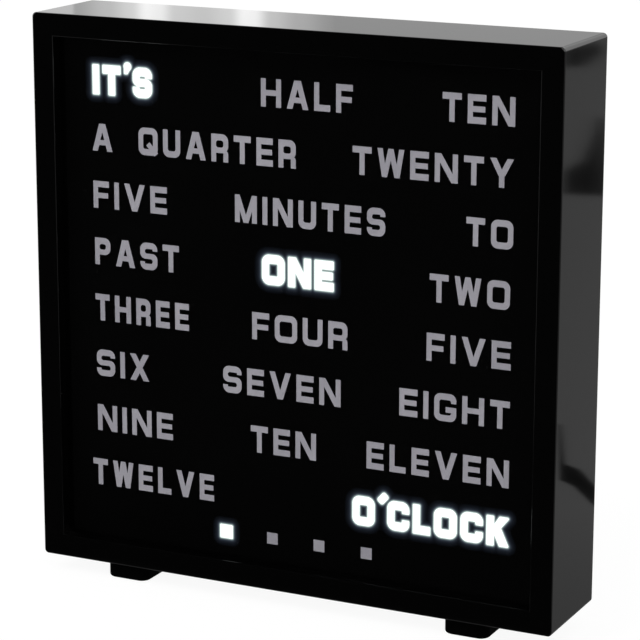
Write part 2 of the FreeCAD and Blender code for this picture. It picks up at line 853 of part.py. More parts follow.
LED_LENGTH, LED_BREADTH, LED_HEIGHT = 3.5, 2.8, 0.9
RESISTOR_LENGTH, RESISTOR_BREADTH, RESISTOR_HEIGHT = 2.0, 1.25, 0.5
leds = []
resistors = []
for left, right, _, _, height in cells:
    length = float(right - left)
    count = max(1, round(length / sheet.led_spacing))
    for number in range(count):
        across = float(left) + length * (number + 0.5) / count
        up = float(height)
        front = float(LED_BOARD_FRONT) - LED_HEIGHT
        body = block(
            across - LED_LENGTH / 2, across + LED_LENGTH / 2, front, LED_BOARD_FRONT,
            up - LED_BREADTH / 2, up + LED_BREADTH / 2,
        )
        leds.append(body.cut(rod(LED_BREADTH * 0.4, across, front - 1, front + LED_HEIGHT * 0.3, up)))
    across = float(left) + length / 2
    resistors.append(
        block(
            across - RESISTOR_LENGTH / 2, across + RESISTOR_LENGTH / 2,
            LED_BOARD_BACK, LED_BOARD_BACK + RESISTOR_HEIGHT,
            height - RESISTOR_BREADTH / 2, height + RESISTOR_BREADTH / 2,
        )
    )
solid_part("word_leds", leds)
solid_part("led_resistors", resistors)


def chip(length, breadth, height, leads, pitch):
    """A packaged chip standing on the plane y = 0, with a row of bent leads on each long side."""
    stand, lead_width, lead_reach, lead_thickness = 0.15, 0.4, 1.2, 0.25
    pieces = [block(-length / 2, length / 2, stand, height, -breadth / 2, breadth / 2)]
    for side in (-1, 1):
        for number in range(leads):
            across = (number - (leads - 1) / 2) * pitch
            outer, inner = side * (breadth / 2 + lead_reach), side * (breadth / 2 - 0.1)
            knee = side * (breadth / 2 + lead_reach * 0.5)
            near, far = sorted((inner, knee))
            left, right = across - lead_width / 2, across + lead_width / 2
            pieces.append(block(left, right, height / 2 - lead_thickness, height / 2, near, far))
            near, far = sorted((knee - side * lead_thickness, knee))
            pieces.append(block(left, right, 0, height / 2, near, far))
            near, far = sorted((knee - side * lead_thickness, outer))
            pieces.append(block(left, right, 0, lead_thickness, near, far))
    return joined(pieces)


# the drivers sit between two rows of words
LEAD_PITCH = 1.27
DRIVER_X = 48.0
DRIVER_Z = size("last_row_height") + ROW_PITCH * 3.5
driver = chip(10.3, 3.9, 1.6, 8, LEAD_PITCH)
solid_part("led_drivers", [set_at(driver, side * DRIVER_X, LED_BOARD_BACK, DRIVER_Z) for side in (-1, 1)])

# ---------------------------------------------------------------- control board and its chips

# It reaches past both ends of the battery bay, so that the bay's leads come up to it beside the bay. Its
# header meets the LED board between two rows of words.
CONTACT_PLAY = 0.1
BAY_HALF = (
    size("cell_length")
    + size("cell_nub")
    + size("spring_length")
    + size("plate_dimple")
    + size("plate_thickness") * 2
    + CONTACT_PLAY
) / 2
BAY_OUTER = BAY_HALF + size("bay_wall")
HEADER_Z = size("last_row_height") + ROW_PITCH * 4.5
CONTROL_Z = HEADER_Z + size("control_rise")
SOCKET_X = HALF_WIDTH - size("socket_inset")
CONTROL_HALF = BAY_OUTER + size("control_overhang")
CONTROL_HALF_BREADTH = size("control_breadth") / 2
STAND_OFFS = [
    (
        (CONTROL_HALF - size("stand_off_inset")) * side,
        CONTROL_Z + (CONTROL_HALF_BREADTH - size("stand_off_inset")) * end,
    )
    for side, end in CORNERS
]
control_board = new_body("control_board")
outline = new_sketch(control_board, "outline", depth=CONTROL_FRONT)
CONTROL_LOW = CONTROL_Z - CONTROL_HALF_BREADTH
CONTROL_HIGH = CONTROL_Z + CONTROL_HALF_BREADTH
rectangle(outline, -CONTROL_HALF, CONTROL_HALF, CONTROL_LOW, CONTROL_HIGH)
pad(control_board, outline, "board_thickness")
control_holes = new_sketch(control_board, "holes", depth=CONTROL_FRONT)
for across, up in STAND_OFFS:
    circle(control_holes, across, up, size("small_screw_radius") + size("screw_clearance"))
pocket(control_board, control_holes, "board_thickness")

FACING_FRONT = Rotation(Vector(0, 0, 1), 180)
controller = chip(17.9, 7.5, 2.4, 14, LEAD_PITCH)
CONTROLLER_X, CRYSTAL_X, CHIP_RISE = -16.0, 5.0, 5.0
CHIP_Z = CONTROL_Z + CHIP_RISE
solid_part("microcontroller", [set_at(controller, CONTROLLER_X, CONTROL_FRONT, CHIP_Z, FACING_FRONT)])

CRYSTAL_LENGTH, CRYSTAL_BREADTH, CRYSTAL_HEIGHT = 11.0, 4.6, 3.5
can = block(
    -CRYSTAL_LENGTH / 2, CRYSTAL_LENGTH / 2, 0, CRYSTAL_HEIGHT, -CRYSTAL_BREADTH / 2, CRYSTAL_BREADTH / 2
)
can = can.makeFillet(
    CRYSTAL_BREADTH * 0.49, [edge for edge in can.Edges if edge.BoundBox.YLength > CRYSTAL_HEIGHT * 0.9]
)
solid_part("clock_crystal", [set_at(can, CRYSTAL_X, CONTROL_FRONT, CHIP_Z, FACING_FRONT)])

CAPACITOR_X, CAPACITOR_RADIUS, CAPACITOR_LENGTH = 24.0, 3.15, 11.0
capacitor_axis = float(CONTROL_FRONT) - CAPACITOR_RADIUS - 0.05
capacitor_foot = Vector(CAPACITOR_X, capacitor_axis, float(CONTROL_Z) - CAPACITOR_LENGTH / 2)
capacitor = Part.makeCylinder(CAPACITOR_RADIUS, CAPACITOR_LENGTH, capacitor_foot)
capacitor = capacitor.makeFillet(0.4, [edge for edge in capacitor.Edges if edge.BoundBox.ZLength < 0.01])
solid_part("power_capacitor", [capacitor])

# A pin header on the control board plugs into a socket on the LED board.
HEADER_PINS, HEADER_PITCH, HEADER_BREADTH, HEADER_BASE = 10, 2.54, 2.5, 2.5
PIN_HALF, PIN_GAP = 0.32, 0.08
HEADER_BACK = CONTROL_FRONT - HEADER_BASE
PIN_LENGTH = (HEADER_BACK - LED_BOARD_BACK) * 0.7
header_half = HEADER_PINS * HEADER_PITCH / 2
header_low, header_high = HEADER_Z - HEADER_BREADTH / 2, HEADER_Z + HEADER_BREADTH / 2
pins = []
pin_holes = []
for number in range(HEADER_PINS):
    across = (number - (HEADER_PINS - 1) / 2) * HEADER_PITCH
    for pieces, spare in ((pins, 0), (pin_holes, PIN_GAP)):
        half = PIN_HALF + spare
        front = HEADER_BACK - PIN_LENGTH - spare
        low, high = HEADER_Z - half, HEADER_Z + half
        pieces.append(block(across - half, across + half, front, HEADER_BACK, low, high))
header_base = block(-header_half, header_half, HEADER_BACK, CONTROL_FRONT, header_low, header_high)
solid_part("board_header", [joined([header_base] + pins)])
socket_body = block(-header_half, header_half, LED_BOARD_BACK, HEADER_BACK, header_low, header_high)
solid_part("board_socket", [socket_body.cut(pin_holes)])

# ---------------------------------------------------------------- back cover

CELL_COUNT = size("cell_count")
CELL_PITCH = size("cell_radius") * 2 + size("cell_gap")
BAY_LOW = size("bay_bottom")
BAY_HIGH = BAY_LOW + CELL_PITCH * CELL_COUNT + size("cell_play")
DOOR_HALF = BAY_HALF + size("bay_ledge")
DOOR_LOW = BAY_LOW - size("bay_ledge")
DOOR_HIGH = BAY_HIGH + size("bay_ledge")
TAB_SIDES = [size("tab_spacing") / 2 * side for side in (-1, 1)]
KNOB_SLOT_HALF = size("knob_length") / 2 + size("brightness_travel") + size("screw_clearance")
LEAD_DEPTH = CONTROL_BACK + 2
LEAD_SLOT = size("lead_radius") + 0.2


def cell_height(number):
    return BAY_LOW + size("cell_play") / 2 + CELL_PITCH * (number + 0.5)


def nub_side(number):
    """Cells lie head to tail: the even ones point right."""
    return 1 if number % 2 == 0 else -1


# the leads leave the bay beside its first and last contacts
LEAD_ENDS = [(-1, cell_height(0)), (nub_side(sheet.cell_count - 1), cell_height(sheet.cell_count - 1))]

rear_cover = new_body("rear_cover")
outline = new_sketch(rear_cover, "outline", depth=COVER_FRONT)
COVER_HALF = REBATE_HALF - size("cover_gap")
COVER_EDGE = size("cover_rim") + size("cover_gap")
rectangle(outline, -COVER_HALF, COVER_HALF, COVER_EDGE, size("case_height") - COVER_EDGE)
pad(rear_cover, outline, "cover_thickness")
bay_block = new_sketch(rear_cover, "bay", depth=BAY_FLOOR_FRONT)
rectangle(bay_block, -BAY_OUTER, BAY_OUTER, BAY_LOW - size("bay_wall"), BAY_HIGH + size("bay_wall"))
pad(rear_cover, bay_block, COVER_FRONT - BAY_FLOOR_FRONT)
wells = new_sketch(rear_cover, "wells", depth=WELL_FLOOR_FRONT)
for across, up in POSTS:
    circle(wells, across, up, size("well_radius") + size("well_wall"))
pad(rear_cover, wells, COVER_FRONT - WELL_FLOOR_FRONT)
stand_offs = new_sketch(rear_cover, "stand_offs", depth=CONTROL_BACK)
for across, up in STAND_OFFS:
    circle(stand_offs, across, up, "stand_off_radius")
pad(rear_cover, stand_offs, "control_stand_off")

bay_room = new_sketch(rear_cover, "bay_room", depth=BAY_FLOOR_BACK)
rectangle(bay_room, -BAY_HALF, BAY_HALF, BAY_LOW, BAY_HIGH)
pocket(rear_cover, bay_room, COVER_BACK - BAY_FLOOR_BACK)
door_opening = new_sketch(rear_cover, "door_opening", depth=BAY_LEDGE)
rectangle(door_opening, -DOOR_HALF, DOOR_HALF, DOOR_LOW, DOOR_HIGH)
pocket(rear_cover, door_opening, COVER_BACK - BAY_LEDGE)
well_room = new_sketch(rear_cover, "well_room", depth=WELL_FLOOR_BACK)
screw_holes = new_sketch(rear_cover, "screw_holes", depth=WELL_FLOOR_FRONT)
for across, up in POSTS:
    circle(well_room, across, up, "well_radius")
    circle(screw_holes, across, up, size("cover_screw_radius") + size("screw_clearance"))
pocket(rear_cover, well_room, "well_depth")
pocket(rear_cover, screw_holes, "well_floor")
stand_off_pilots = new_sketch(rear_cover, "stand_off_pilots", depth=CONTROL_BACK)
for across, up in STAND_OFFS:
    circle(stand_off_pilots, across, up, size("small_screw_radius") + size("screw_gap"))
pocket(rear_cover, stand_off_pilots, small_screw_grip)

control_openings = new_sketch(rear_cover, "control_openings", depth=COVER_FRONT)
for across in ("hour_button_x", "minute_button_x"):
    circle(control_openings, across, CONTROL_Z, size("button_radius") + size("running_gap"))
rectangle(
    control_openings,
    size("brightness_x") - KNOB_SLOT_HALF,
    size("brightness_x") + KNOB_SLOT_HALF,
    CONTROL_Z - size("knob_breadth") / 2 - size("running_gap"),
    CONTROL_Z + size("knob_breadth") / 2 + size("running_gap"),
)
circle(control_openings, SOCKET_X, CONTROL_Z, size("socket_radius") + size("running_gap"))
pocket(rear_cover, control_openings, "cover_thickness")

# slots through the lower bay wall let the door's tabs swing
TAB_SLOT_DEPTH = 3.5
tab_slots = new_sketch(rear_cover, "tab_slots", depth=COVER_FRONT - TAB_SLOT_DEPTH)
ledge_slots = new_sketch(rear_cover, "ledge_slots", depth=COVER_FRONT)
for middle in TAB_SIDES:
    near = middle - size("tab_width") / 2 - size("door_gap")
    far = middle + size("tab_width") / 2 + size("door_gap")
    rectangle(tab_slots, near, far, BAY_LOW - size("bay_wall") - 0.5, BAY_LOW + 0.5)
    rectangle(ledge_slots, near, far, DOOR_LOW, BAY_LOW + 0.5)
pocket(rear_cover, tab_slots, TAB_SLOT_DEPTH)
pocket(rear_cover, ledge_slots, BAY_LEDGE - COVER_FRONT)

# slots through the end walls of the bay let the leads out
lead_slots = new_sketch(rear_cover, "lead_slots", depth=LEAD_DEPTH - LEAD_SLOT)
for side, up in LEAD_ENDS:
    near, far = (BAY_HALF - 0.1, BAY_OUTER + 0.1) if side > 0 else (-BAY_OUTER - 0.1, -BAY_HALF + 0.1)
    rectangle(lead_slots, near, far, up - LEAD_SLOT, up + LEAD_SLOT)
pocket(rear_cover, lead_slots, COVER_FRONT - LEAD_DEPTH + LEAD_SLOT)

# a shallow scoop for a fingernail above the door
SCOOP_RADIUS, SCOOP_DEPTH = 6.0, 1.2
scoop = new_sketch(rear_cover, "scoop", depth=COVER_BACK - SCOOP_DEPTH)
circle(scoop, 0, DOOR_HIGH, SCOOP_RADIUS)
pocket(rear_cover, scoop, SCOOP_DEPTH)

# ---------------------------------------------------------------- battery door

# It turns about the outer edge of its lower side: its tabs pass round the edge of the opening as it
# swings.
battery_door = new_body("battery_door")
outline = new_sketch(battery_door, "outline", depth=DOOR_FRONT)
DOOR_GAP = size("door_gap")
DOOR_EDGE = DOOR_HALF - DOOR_GAP
rectangle(outline, -DOOR_EDGE, DOOR_EDGE, DOOR_LOW + DOOR_GAP, DOOR_HIGH - DOOR_GAP)
pad(battery_door, outline, "door_thickness")
NECK_FRONT = COVER_FRONT - DOOR_GAP
TOE_FRONT = NECK_FRONT - size("tab_thickness")
NECK_TOP = DOOR_LOW + DOOR_GAP + size("tab_neck")
necks = new_sketch(battery_door, "necks", depth=NECK_FRONT)
toes = new_sketch(battery_door, "toes", depth=TOE_FRONT)
for middle in TAB_SIDES:
    near, far = middle - size("tab_width") / 2, middle + size("tab_width") / 2
    rectangle(necks, near, far, DOOR_LOW + DOOR_GAP, NECK_TOP)
    rectangle(toes, near, far, DOOR_LOW - size("tab_reach"), NECK_TOP)
pad(battery_door, necks, DOOR_FRONT - NECK_FRONT)
pad(battery_door, toes, "tab_thickness")
GRIP_COUNT, GRIP_PITCH, GRIP_WIDTH, GRIP_HALF, GRIP_DEPTH = 5, 2.0, 0.9, 9.0, 0.4
grips = new_sketch(battery_door, "grips", depth=COVER_BACK - GRIP_DEPTH)
for number in range(GRIP_COUNT):
    high = DOOR_HIGH - 5 - number * GRIP_PITCH
    rectangle(grips, -GRIP_HALF, GRIP_HALF, high - GRIP_WIDTH, high)
pocket(battery_door, grips, GRIP_DEPTH)

# ---------------------------------------------------------------- battery cells and their contacts

CELL_MIDDLE = BAY_FLOOR_BACK + size("cell_play") / 2 + size("cell_radius")
PLATE_FACE = BAY_HALF - CONTACT_PLAY / 2 - size("plate_thickness")
NUB_RADIUS, CELL_EDGE, DIMPLE_RADIUS, PLATE_HALF = 2.75, 0.6, 2.2, 6.0
SPRING_WIRE, SPRING_TURNS, SPRING_BASE, SPRING_TOP, WIRE_SIDES = 0.35, 4, 5.2, 3.4, 12


def along_x(radius, near, far, up, side):
    """A cylinder along x between two distances from the centre line, on one side of it or across it."""
    near, far = float(near) * side, float(far) * side
    start = Vector(min(near, far), float(CELL_MIDDLE), float(up))
    return Part.makeCylinder(radius, abs(far - near), start, Vector(1, 0, 0))


def spring_point(half_turns):
    """Where the wire crosses the plane through the spring's axis after a number of half turns."""
    done = half_turns / (2 * SPRING_TURNS)
    radius = SPRING_BASE + (SPRING_TOP - SPRING_BASE) * done
    return Vector(radius * (-1) ** half_turns, 0, (sheet.spring_length - 2 * SPRING_WIRE) * done)


def wound_spring():
    """A conical spring along z: half turns of wire, each on a plane that leans with the pitch."""
    angles = [math.radians(360 / WIRE_SIDES * side) for side in range(WIRE_SIDES + 1)]
    rim = [Vector(math.cos(angle), 0, math.sin(angle)) * SPRING_WIRE for angle in angles]
    section = Part.Face(Part.makePolygon([spring_point(0) + point for point in rim]))
    turns = []
    for step in range(2 * SPRING_TURNS):
        start, end = spring_point(step), spring_point(step + 1)
        middle, across = (start + end) / 2, end - start
        axis = Vector(across.z, 0, -across.x) * (-1) ** step
        turns.append(section.revolve(middle, axis, 180))
        section = section.rotated(middle, axis, 180)
    return turns[0].fuse(turns[1:]).Solids[0]


battery_cells = []
springs = []
for number in range(sheet.cell_count):
    side = nub_side(number)
    up = cell_height(number)
    nub_tip = PLATE_FACE - size("plate_dimple")
    shoulder = nub_tip - size("cell_nub")
    can = along_x(sheet.cell_radius, shoulder - size("cell_length"), shoulder, up, side)
    can = can.makeFillet(CELL_EDGE, [edge for edge in can.Edges if edge.BoundBox.XLength < 0.01])
    nub = along_x(NUB_RADIUS, shoulder - 0.5, nub_tip, up, side)
    battery_cells.append(can.fuse(nub).removeSplitter())

    spring_foot = float(PLATE_FACE) - SPRING_WIRE
    facing_cell = Rotation(Vector(0, 1, 0), 90 * side)
    springs.append(set_at(wound_spring(), -side * spring_foot, CELL_MIDDLE, up, facing_cell))
solid_part("battery_cells", battery_cells)
solid_part("battery_springs", springs)

last = sheet.cell_count - 1
contact_spans = [(-1, 0, 0), (nub_side(last), last, last)]
contact_spans += [(nub_side(number), number, number + 1) for number in range(last)]
plates = []
for side, first, final in contact_spans:
    outer = PLATE_FACE + size("plate_thickness")
    near, far = sorted((float(PLATE_FACE) * side, float(outer) * side))
    low, high = cell_height(first) - PLATE_HALF, cell_height(final) + PLATE_HALF
    contact = block(near, far, CELL_MIDDLE - PLATE_HALF, CELL_MIDDLE + PLATE_HALF, low, high)
    for number in range(first, final + 1):
        if nub_side(number) == side:
            dimple_tip = PLATE_FACE - size("plate_dimple")
            dimple = along_x(DIMPLE_RADIUS, dimple_tip, PLATE_FACE, cell_height(number), side)
            contact = contact.fuse(dimple)
    plates.append(contact)
solid_part("battery_contacts", plates)

# ---------------------------------------------------------------- buttons and the brightness switch

FLANGE_THICKNESS, FLANGE_GAP, CAP_ROUND, PLUNGER_ROOT, BORE_SPARE = 1.0, 0.2, 0.5, 1.8, 0.3
FLANGE_BACK = COVER_FRONT - FLANGE_GAP
FLANGE_FRONT = FLANGE_BACK - FLANGE_THICKNESS
CONTROL_TIP = COVER_BACK + size("button_proud")
tact_switches = []
for name in ("hour", "minute"):
    across = size(f"{name}_button_x")
    button = new_body(f"{name}_button")
    flange = new_sketch(button, "flange", depth=FLANGE_FRONT)
    circle(flange, across, CONTROL_Z, size("button_radius") + size("button_flange"))
    pad(button, flange, FLANGE_THICKNESS)
    cap = new_sketch(button, "cap", depth=FLANGE_BACK)
    circle(cap, across, CONTROL_Z, "button_radius")
    pad(button, cap, CONTROL_TIP - FLANGE_BACK)
    round_edges(button, "edge", CAP_ROUND, lambda edge: all_at(edge, "Y", CONTROL_TIP))

    plunger = new_body(f"{name}_plunger")
    stem = new_sketch(plunger, "stem", depth=CONTROL_BACK + PLUNGER_ROOT)
    circle(stem, across, CONTROL_Z, "plunger_radius")
    pad(plunger, stem, FLANGE_FRONT - CONTROL_BACK - PLUNGER_ROOT)

    half = size("switch_size") / 2
    back = CONTROL_BACK + size("switch_height")
    shell = block(across - half, across + half, CONTROL_BACK, back, CONTROL_Z - half, CONTROL_Z + half)
    bore_floor = CONTROL_BACK + PLUNGER_ROOT - size("button_travel") - BORE_SPARE
    bore_radius = size("plunger_radius") + size("running_gap")
    tact_switches.append(shell.cut(rod(bore_radius, across, bore_floor, back + 1, CONTROL_Z)))
solid_part("tact_switches", tact_switches)

STALK_HALF, STALK_HALF_BREADTH, STALK_LENGTH = 1.1, 0.8, 1.9
HOUSING_HALF, HOUSING_HALF_BREADTH, HOUSING_HEIGHT = 5.5, 2.6, 4.2
SHOULDER_SPARE = 0.8
BRIGHTNESS_X = size("brightness_x")
HOUSING_BACK = CONTROL_BACK + HOUSING_HEIGHT
brightness_switch = new_body("brightness_switch")
outline = new_sketch(brightness_switch, "outline", depth=CONTROL_BACK)
rectangle(
    outline,
    BRIGHTNESS_X - HOUSING_HALF,
    BRIGHTNESS_X + HOUSING_HALF,
    CONTROL_Z - HOUSING_HALF_BREADTH,
    CONTROL_Z + HOUSING_HALF_BREADTH,
)
pad(brightness_switch, outline, HOUSING_HEIGHT)
track = new_sketch(brightness_switch, "track", depth=HOUSING_BACK - STALK_LENGTH - size("running_gap"))
track_half = size("brightness_travel") + STALK_HALF + size("screw_clearance")
track_half_breadth = size("running_gap") + STALK_HALF_BREADTH
rectangle(
    track,
    BRIGHTNESS_X - track_half,
    BRIGHTNESS_X + track_half,
    CONTROL_Z - track_half_breadth,
    CONTROL_Z + track_half_breadth,
)
pocket(brightness_switch, track, size("running_gap") + STALK_LENGTH)

brightness_knob = new_body("brightness_knob")
knob_steps = [
    ("stalk", HOUSING_BACK - STALK_LENGTH, FLANGE_FRONT, size(STALK_HALF), size(STALK_HALF_BREADTH)),
    (
        "shoulder", FLANGE_FRONT, FLANGE_BACK,
        KNOB_SLOT_HALF + size("brightness_travel") + SHOULDER_SPARE, size(HOUSING_HALF_BREADTH),
    ),
    ("grip", FLANGE_BACK, CONTROL_TIP, size("knob_length") / 2, size("knob_breadth") / 2),
]
for name, front, back, half, half_breadth in knob_steps:
    outline = new_sketch(brightness_knob, name, depth=front)
    low, high = CONTROL_Z - half_breadth, CONTROL_Z + half_breadth
    rectangle(outline, BRIGHTNESS_X - half, BRIGHTNESS_X + half, low, high)
    pad(brightness_knob, outline, back - front)
RIDGE_COUNT, RIDGE_PITCH, RIDGE_WIDTH, RIDGE_DEPTH = 3, 1.2, 0.5, 0.4
ridges = new_sketch(brightness_knob, "ridges", depth=CONTROL_TIP - RIDGE_DEPTH)
for number in range(RIDGE_COUNT):
    middle = BRIGHTNESS_X + (number - (RIDGE_COUNT - 1) / 2) * RIDGE_PITCH
    half_breadth = size("knob_breadth") / 2 + 0.1
    rectangle(
        ridges, middle - RIDGE_WIDTH / 2, middle + RIDGE_WIDTH / 2,
        CONTROL_Z - half_breadth, CONTROL_Z + half_breadth,
    )
pocket(brightness_knob, ridges, RIDGE_DEPTH)

# ---------------------------------------------------------------- power socket

SOCKET_LENGTH, SOCKET_LIP, SOCKET_LIP_HEIGHT, PIN_SHORT = 11.0, 1.4, 0.7, 1.0
LUG_LENGTH, LUG_HALF, LUG_THICKNESS, LUG_OFFSET = 3.0, 1.2, 0.4, 2.0
SOCKET_FRONT = COVER_BACK - SOCKET_LENGTH
SOCKET_MOUTH = COVER_BACK + SOCKET_LIP_HEIGHT
dc_socket = new_body("dc_socket")
barrel = new_sketch(dc_socket, "barrel", depth=SOCKET_FRONT)
circle(barrel, SOCKET_X, CONTROL_Z, "socket_radius")
pad(dc_socket, barrel, SOCKET_LENGTH)
lip = new_sketch(dc_socket, "lip", depth=COVER_BACK)
circle(lip, SOCKET_X, CONTROL_Z, size("socket_radius") + SOCKET_LIP)
pad(dc_socket, lip, SOCKET_LIP_HEIGHT)
bore = new_sketch(dc_socket, "bore", depth=SOCKET_MOUTH - size("socket_depth"))
circle(bore, SOCKET_X, CONTROL_Z, "socket_bore")
pocket(dc_socket, bore, "socket_depth")
pin = new_sketch(dc_socket, "pin", depth=SOCKET_MOUTH - size("socket_depth"))
circle(pin, SOCKET_X, CONTROL_Z, "socket_pin")
pad(dc_socket, pin, size("socket_depth") - PIN_SHORT)
lugs = new_sketch(dc_socket, "lugs", depth=SOCKET_FRONT - LUG_LENGTH)
for end in (-1, 1):
    low = CONTROL_Z + LUG_OFFSET * end - LUG_THICKNESS / 2
    rectangle(lugs, SOCKET_X - LUG_HALF, SOCKET_X + LUG_HALF, low, low + LUG_THICKNESS)
pad(dc_socket, lugs, LUG_LENGTH)

NUT_REACH, NUT_THICKNESS = 2.3, 2.0
nut_radius = sheet.socket_radius + NUT_REACH
nut_front = COVER_FRONT - NUT_THICKNESS
nut_corners = [
    Vector(
        float(SOCKET_X) + nut_radius * math.cos(math.radians(60 * corner)),
        float(nut_front),
        float(CONTROL_Z) + nut_radius * math.sin(math.radians(60 * corner)),
    )
    for corner in range(7)
]
nut = Part.Face(Part.makePolygon(nut_corners)).extrude(Vector(0, NUT_THICKNESS, 0))
nut_bore = size("socket_radius") + size("screw_gap")
nut_hole = rod(nut_bore, SOCKET_X, nut_front - 1, COVER_FRONT + 1, CONTROL_Z)
solid_part("dc_socket_nut", [nut.cut(nut_hole)])

# ---------------------------------------------------------------- leads

BEND = 1.3


def lead(*points):
    """An insulated lead through the given points, each corner an arc."""
    points = [Vector(*(float(place) for place in point)) for point in points]
    edges = []
    start = points[0]
    for before, corner, after in zip(points, points[1:], points[2:]):
        inward, outward = (before - corner).normalize(), (after - corner).normalize()
        arc_start, arc_end = corner + inward * BEND, corner + outward * BEND
        centre = corner + (inward + outward) * BEND
        middle = centre - (inward + outward).normalize() * BEND
        edges += [Part.makeLine(start, arc_start), Part.Arc(arc_start, middle, arc_end).toShape()]
        start = arc_end
    edges.append(Part.makeLine(start, points[-1]))
    direction = (points[1] - points[0]).normalize()
    section = Part.Wire(Part.makeCircle(sheet.lead_radius, points[0], direction))
    return Part.Wire(edges).makePipeShell([section], True, False)


LEAD_RUN = BAY_OUTER + 1.5
JOIN_HEIGHT = CONTROL_LOW + 3


def bay_lead(side, up):
    """From a contact at the end of the bay up the outside of its wall to the control board."""
    contact = BAY_HALF - CONTACT_PLAY / 2
    return lead(
        (contact * side, LEAD_DEPTH, up),
        (LEAD_RUN * side, LEAD_DEPTH, up),
        (LEAD_RUN * side, LEAD_DEPTH, JOIN_HEIGHT),
        (LEAD_RUN * side, CONTROL_BACK, JOIN_HEIGHT),
    )


def socket_lead(up):
    """From a lug of the socket to the edge of the control board."""
    lug_middle = SOCKET_FRONT - LUG_LENGTH / 2
    return lead(
        (SOCKET_X - LUG_HALF, lug_middle, up),
        (CONTROL_HALF - 2.5, lug_middle, up),
        (CONTROL_HALF - 2.5, CONTROL_FRONT, up),
    )


(minus_side, minus_height), (plus_side, plus_height) = LEAD_ENDS
solid_part("black_leads", [bay_lead(minus_side, minus_height), socket_lead(CONTROL_Z - LUG_OFFSET)])
solid_part("red_leads", [bay_lead(plus_side, plus_height), socket_lead(CONTROL_Z + LUG_OFFSET)])

# ---------------------------------------------------------------- feet

FOOT_BACK = size("foot_setback") + size("foot_length")
FOOT_HALF = size("foot_width") / 2
for name, side in (("left_foot", -1), ("right_foot", 1)):
    foot = new_body(name)
    outline = new_sketch(foot, "outline", height=0)
    middle = FOOT_X * side
    rectangle(outline, middle - FOOT_HALF, middle + FOOT_HALF, "foot_setback", FOOT_BACK)
    pad(foot, outline, "foot_height")
    upright = sheet.foot_height * 0.9
    round_edges(foot, "corners", "foot_corner", lambda edge: edge.BoundBox.ZLength > upright)
    round_edges(foot, "sole", "foot_edge", lambda edge: all_at(edge, "Z", -sheet.foot_height))
    pilots = new_sketch(foot, "pilots", height=0)
    for across, depth in FOOT_SCREWS:
        if (float(across) > 0) == (side > 0):
            circle(pilots, across, depth, size("cover_screw_radius") + size("screw_gap"))
    pocket(foot, pilots, size("foot_screw_grip") + PILOT_SPARE)

# ---------------------------------------------------------------- screws

SCREW_HEAD, SCREW_HEAD_HEIGHT = 2.75, 1.9
SMALL_HEAD, SMALL_HEAD_HEIGHT = 2.0, 1.5
cover_screw_length = sheet.well_floor + sheet.cover_screw_grip
cover_screw = screw(sheet.cover_screw_radius, cover_screw_length, SCREW_HEAD, SCREW_HEAD_HEIGHT)
cover_screws = [set_at(cover_screw, across, WELL_FLOOR_BACK, up, HEAD_BACKWARD) for across, up in POSTS]
solid_part("cover_screws", cover_screws)

foot_screw_length = sheet.case_wall + sheet.foot_screw_grip
foot_screw = screw(sheet.cover_screw_radius, foot_screw_length, SCREW_HEAD, SCREW_HEAD_HEIGHT)
foot_screws = [set_at(foot_screw, across, depth, sheet.case_wall) for across, depth in FOOT_SCREWS]
solid_part("foot_screws", foot_screws)

board_screw_length = sheet.board_thickness + sheet.small_screw_grip
board_screw = screw(sheet.small_screw_radius, board_screw_length, SMALL_HEAD, SMALL_HEAD_HEIGHT)
board_screws = []
for places, depth, facing in (
    (BOARD_SCREWS, LED_BOARD_BACK, HEAD_BACKWARD),
    (STAND_OFFS, CONTROL_FRONT, HEAD_FORWARD),
):
    board_screws += [set_at(board_screw, across, depth, up, facing) for across, up in places]
solid_part("board_screws", board_screws)

# ---------------------------------------------------------------- check and write

doc.recompute()
failed = [item.Name for item in doc.Objects if {"Invalid", "Error"} & set(item.State)]
if failed:
    raise RuntimeError(f"these objects did not build: {failed}")
for part in subparts:
    if part.Shape.isNull() or not part.Shape.isValid() or not part.Shape.Solids:
        raise RuntimeError(f"{part.Label} has no valid solid")

os.makedirs("parts", exist_ok=True)
for part in subparts:
    part.Shape.exportStep(os.path.join("parts", f"{part.Label}.step"))
    print(f"{part.Label}: {len(part.Shape.Solids)} solids, {part.Shape.Volume:.1f} mm3")
print(f"{len(subparts)} sub-parts")
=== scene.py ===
import math

import bmesh
import bpy
from mathutils import Matrix, Vector
from mathutils.bvhtree import BVHTree


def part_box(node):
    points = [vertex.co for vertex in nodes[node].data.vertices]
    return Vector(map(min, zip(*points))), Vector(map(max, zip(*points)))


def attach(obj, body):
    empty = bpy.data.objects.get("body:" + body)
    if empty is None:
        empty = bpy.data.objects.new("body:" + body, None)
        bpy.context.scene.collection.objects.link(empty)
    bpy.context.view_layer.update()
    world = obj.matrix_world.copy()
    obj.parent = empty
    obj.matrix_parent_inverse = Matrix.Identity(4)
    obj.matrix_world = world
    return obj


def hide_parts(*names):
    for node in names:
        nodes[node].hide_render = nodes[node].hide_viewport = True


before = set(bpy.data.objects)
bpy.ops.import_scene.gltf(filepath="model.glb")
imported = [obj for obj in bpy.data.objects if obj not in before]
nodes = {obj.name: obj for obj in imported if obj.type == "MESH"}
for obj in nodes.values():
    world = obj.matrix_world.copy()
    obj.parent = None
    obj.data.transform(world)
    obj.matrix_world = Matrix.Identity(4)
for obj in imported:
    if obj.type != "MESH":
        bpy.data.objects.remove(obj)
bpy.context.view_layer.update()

scene = bpy.context.scene
scene.view_settings.view_transform = "Standard"

# ---------------------------------------------------------------- camera

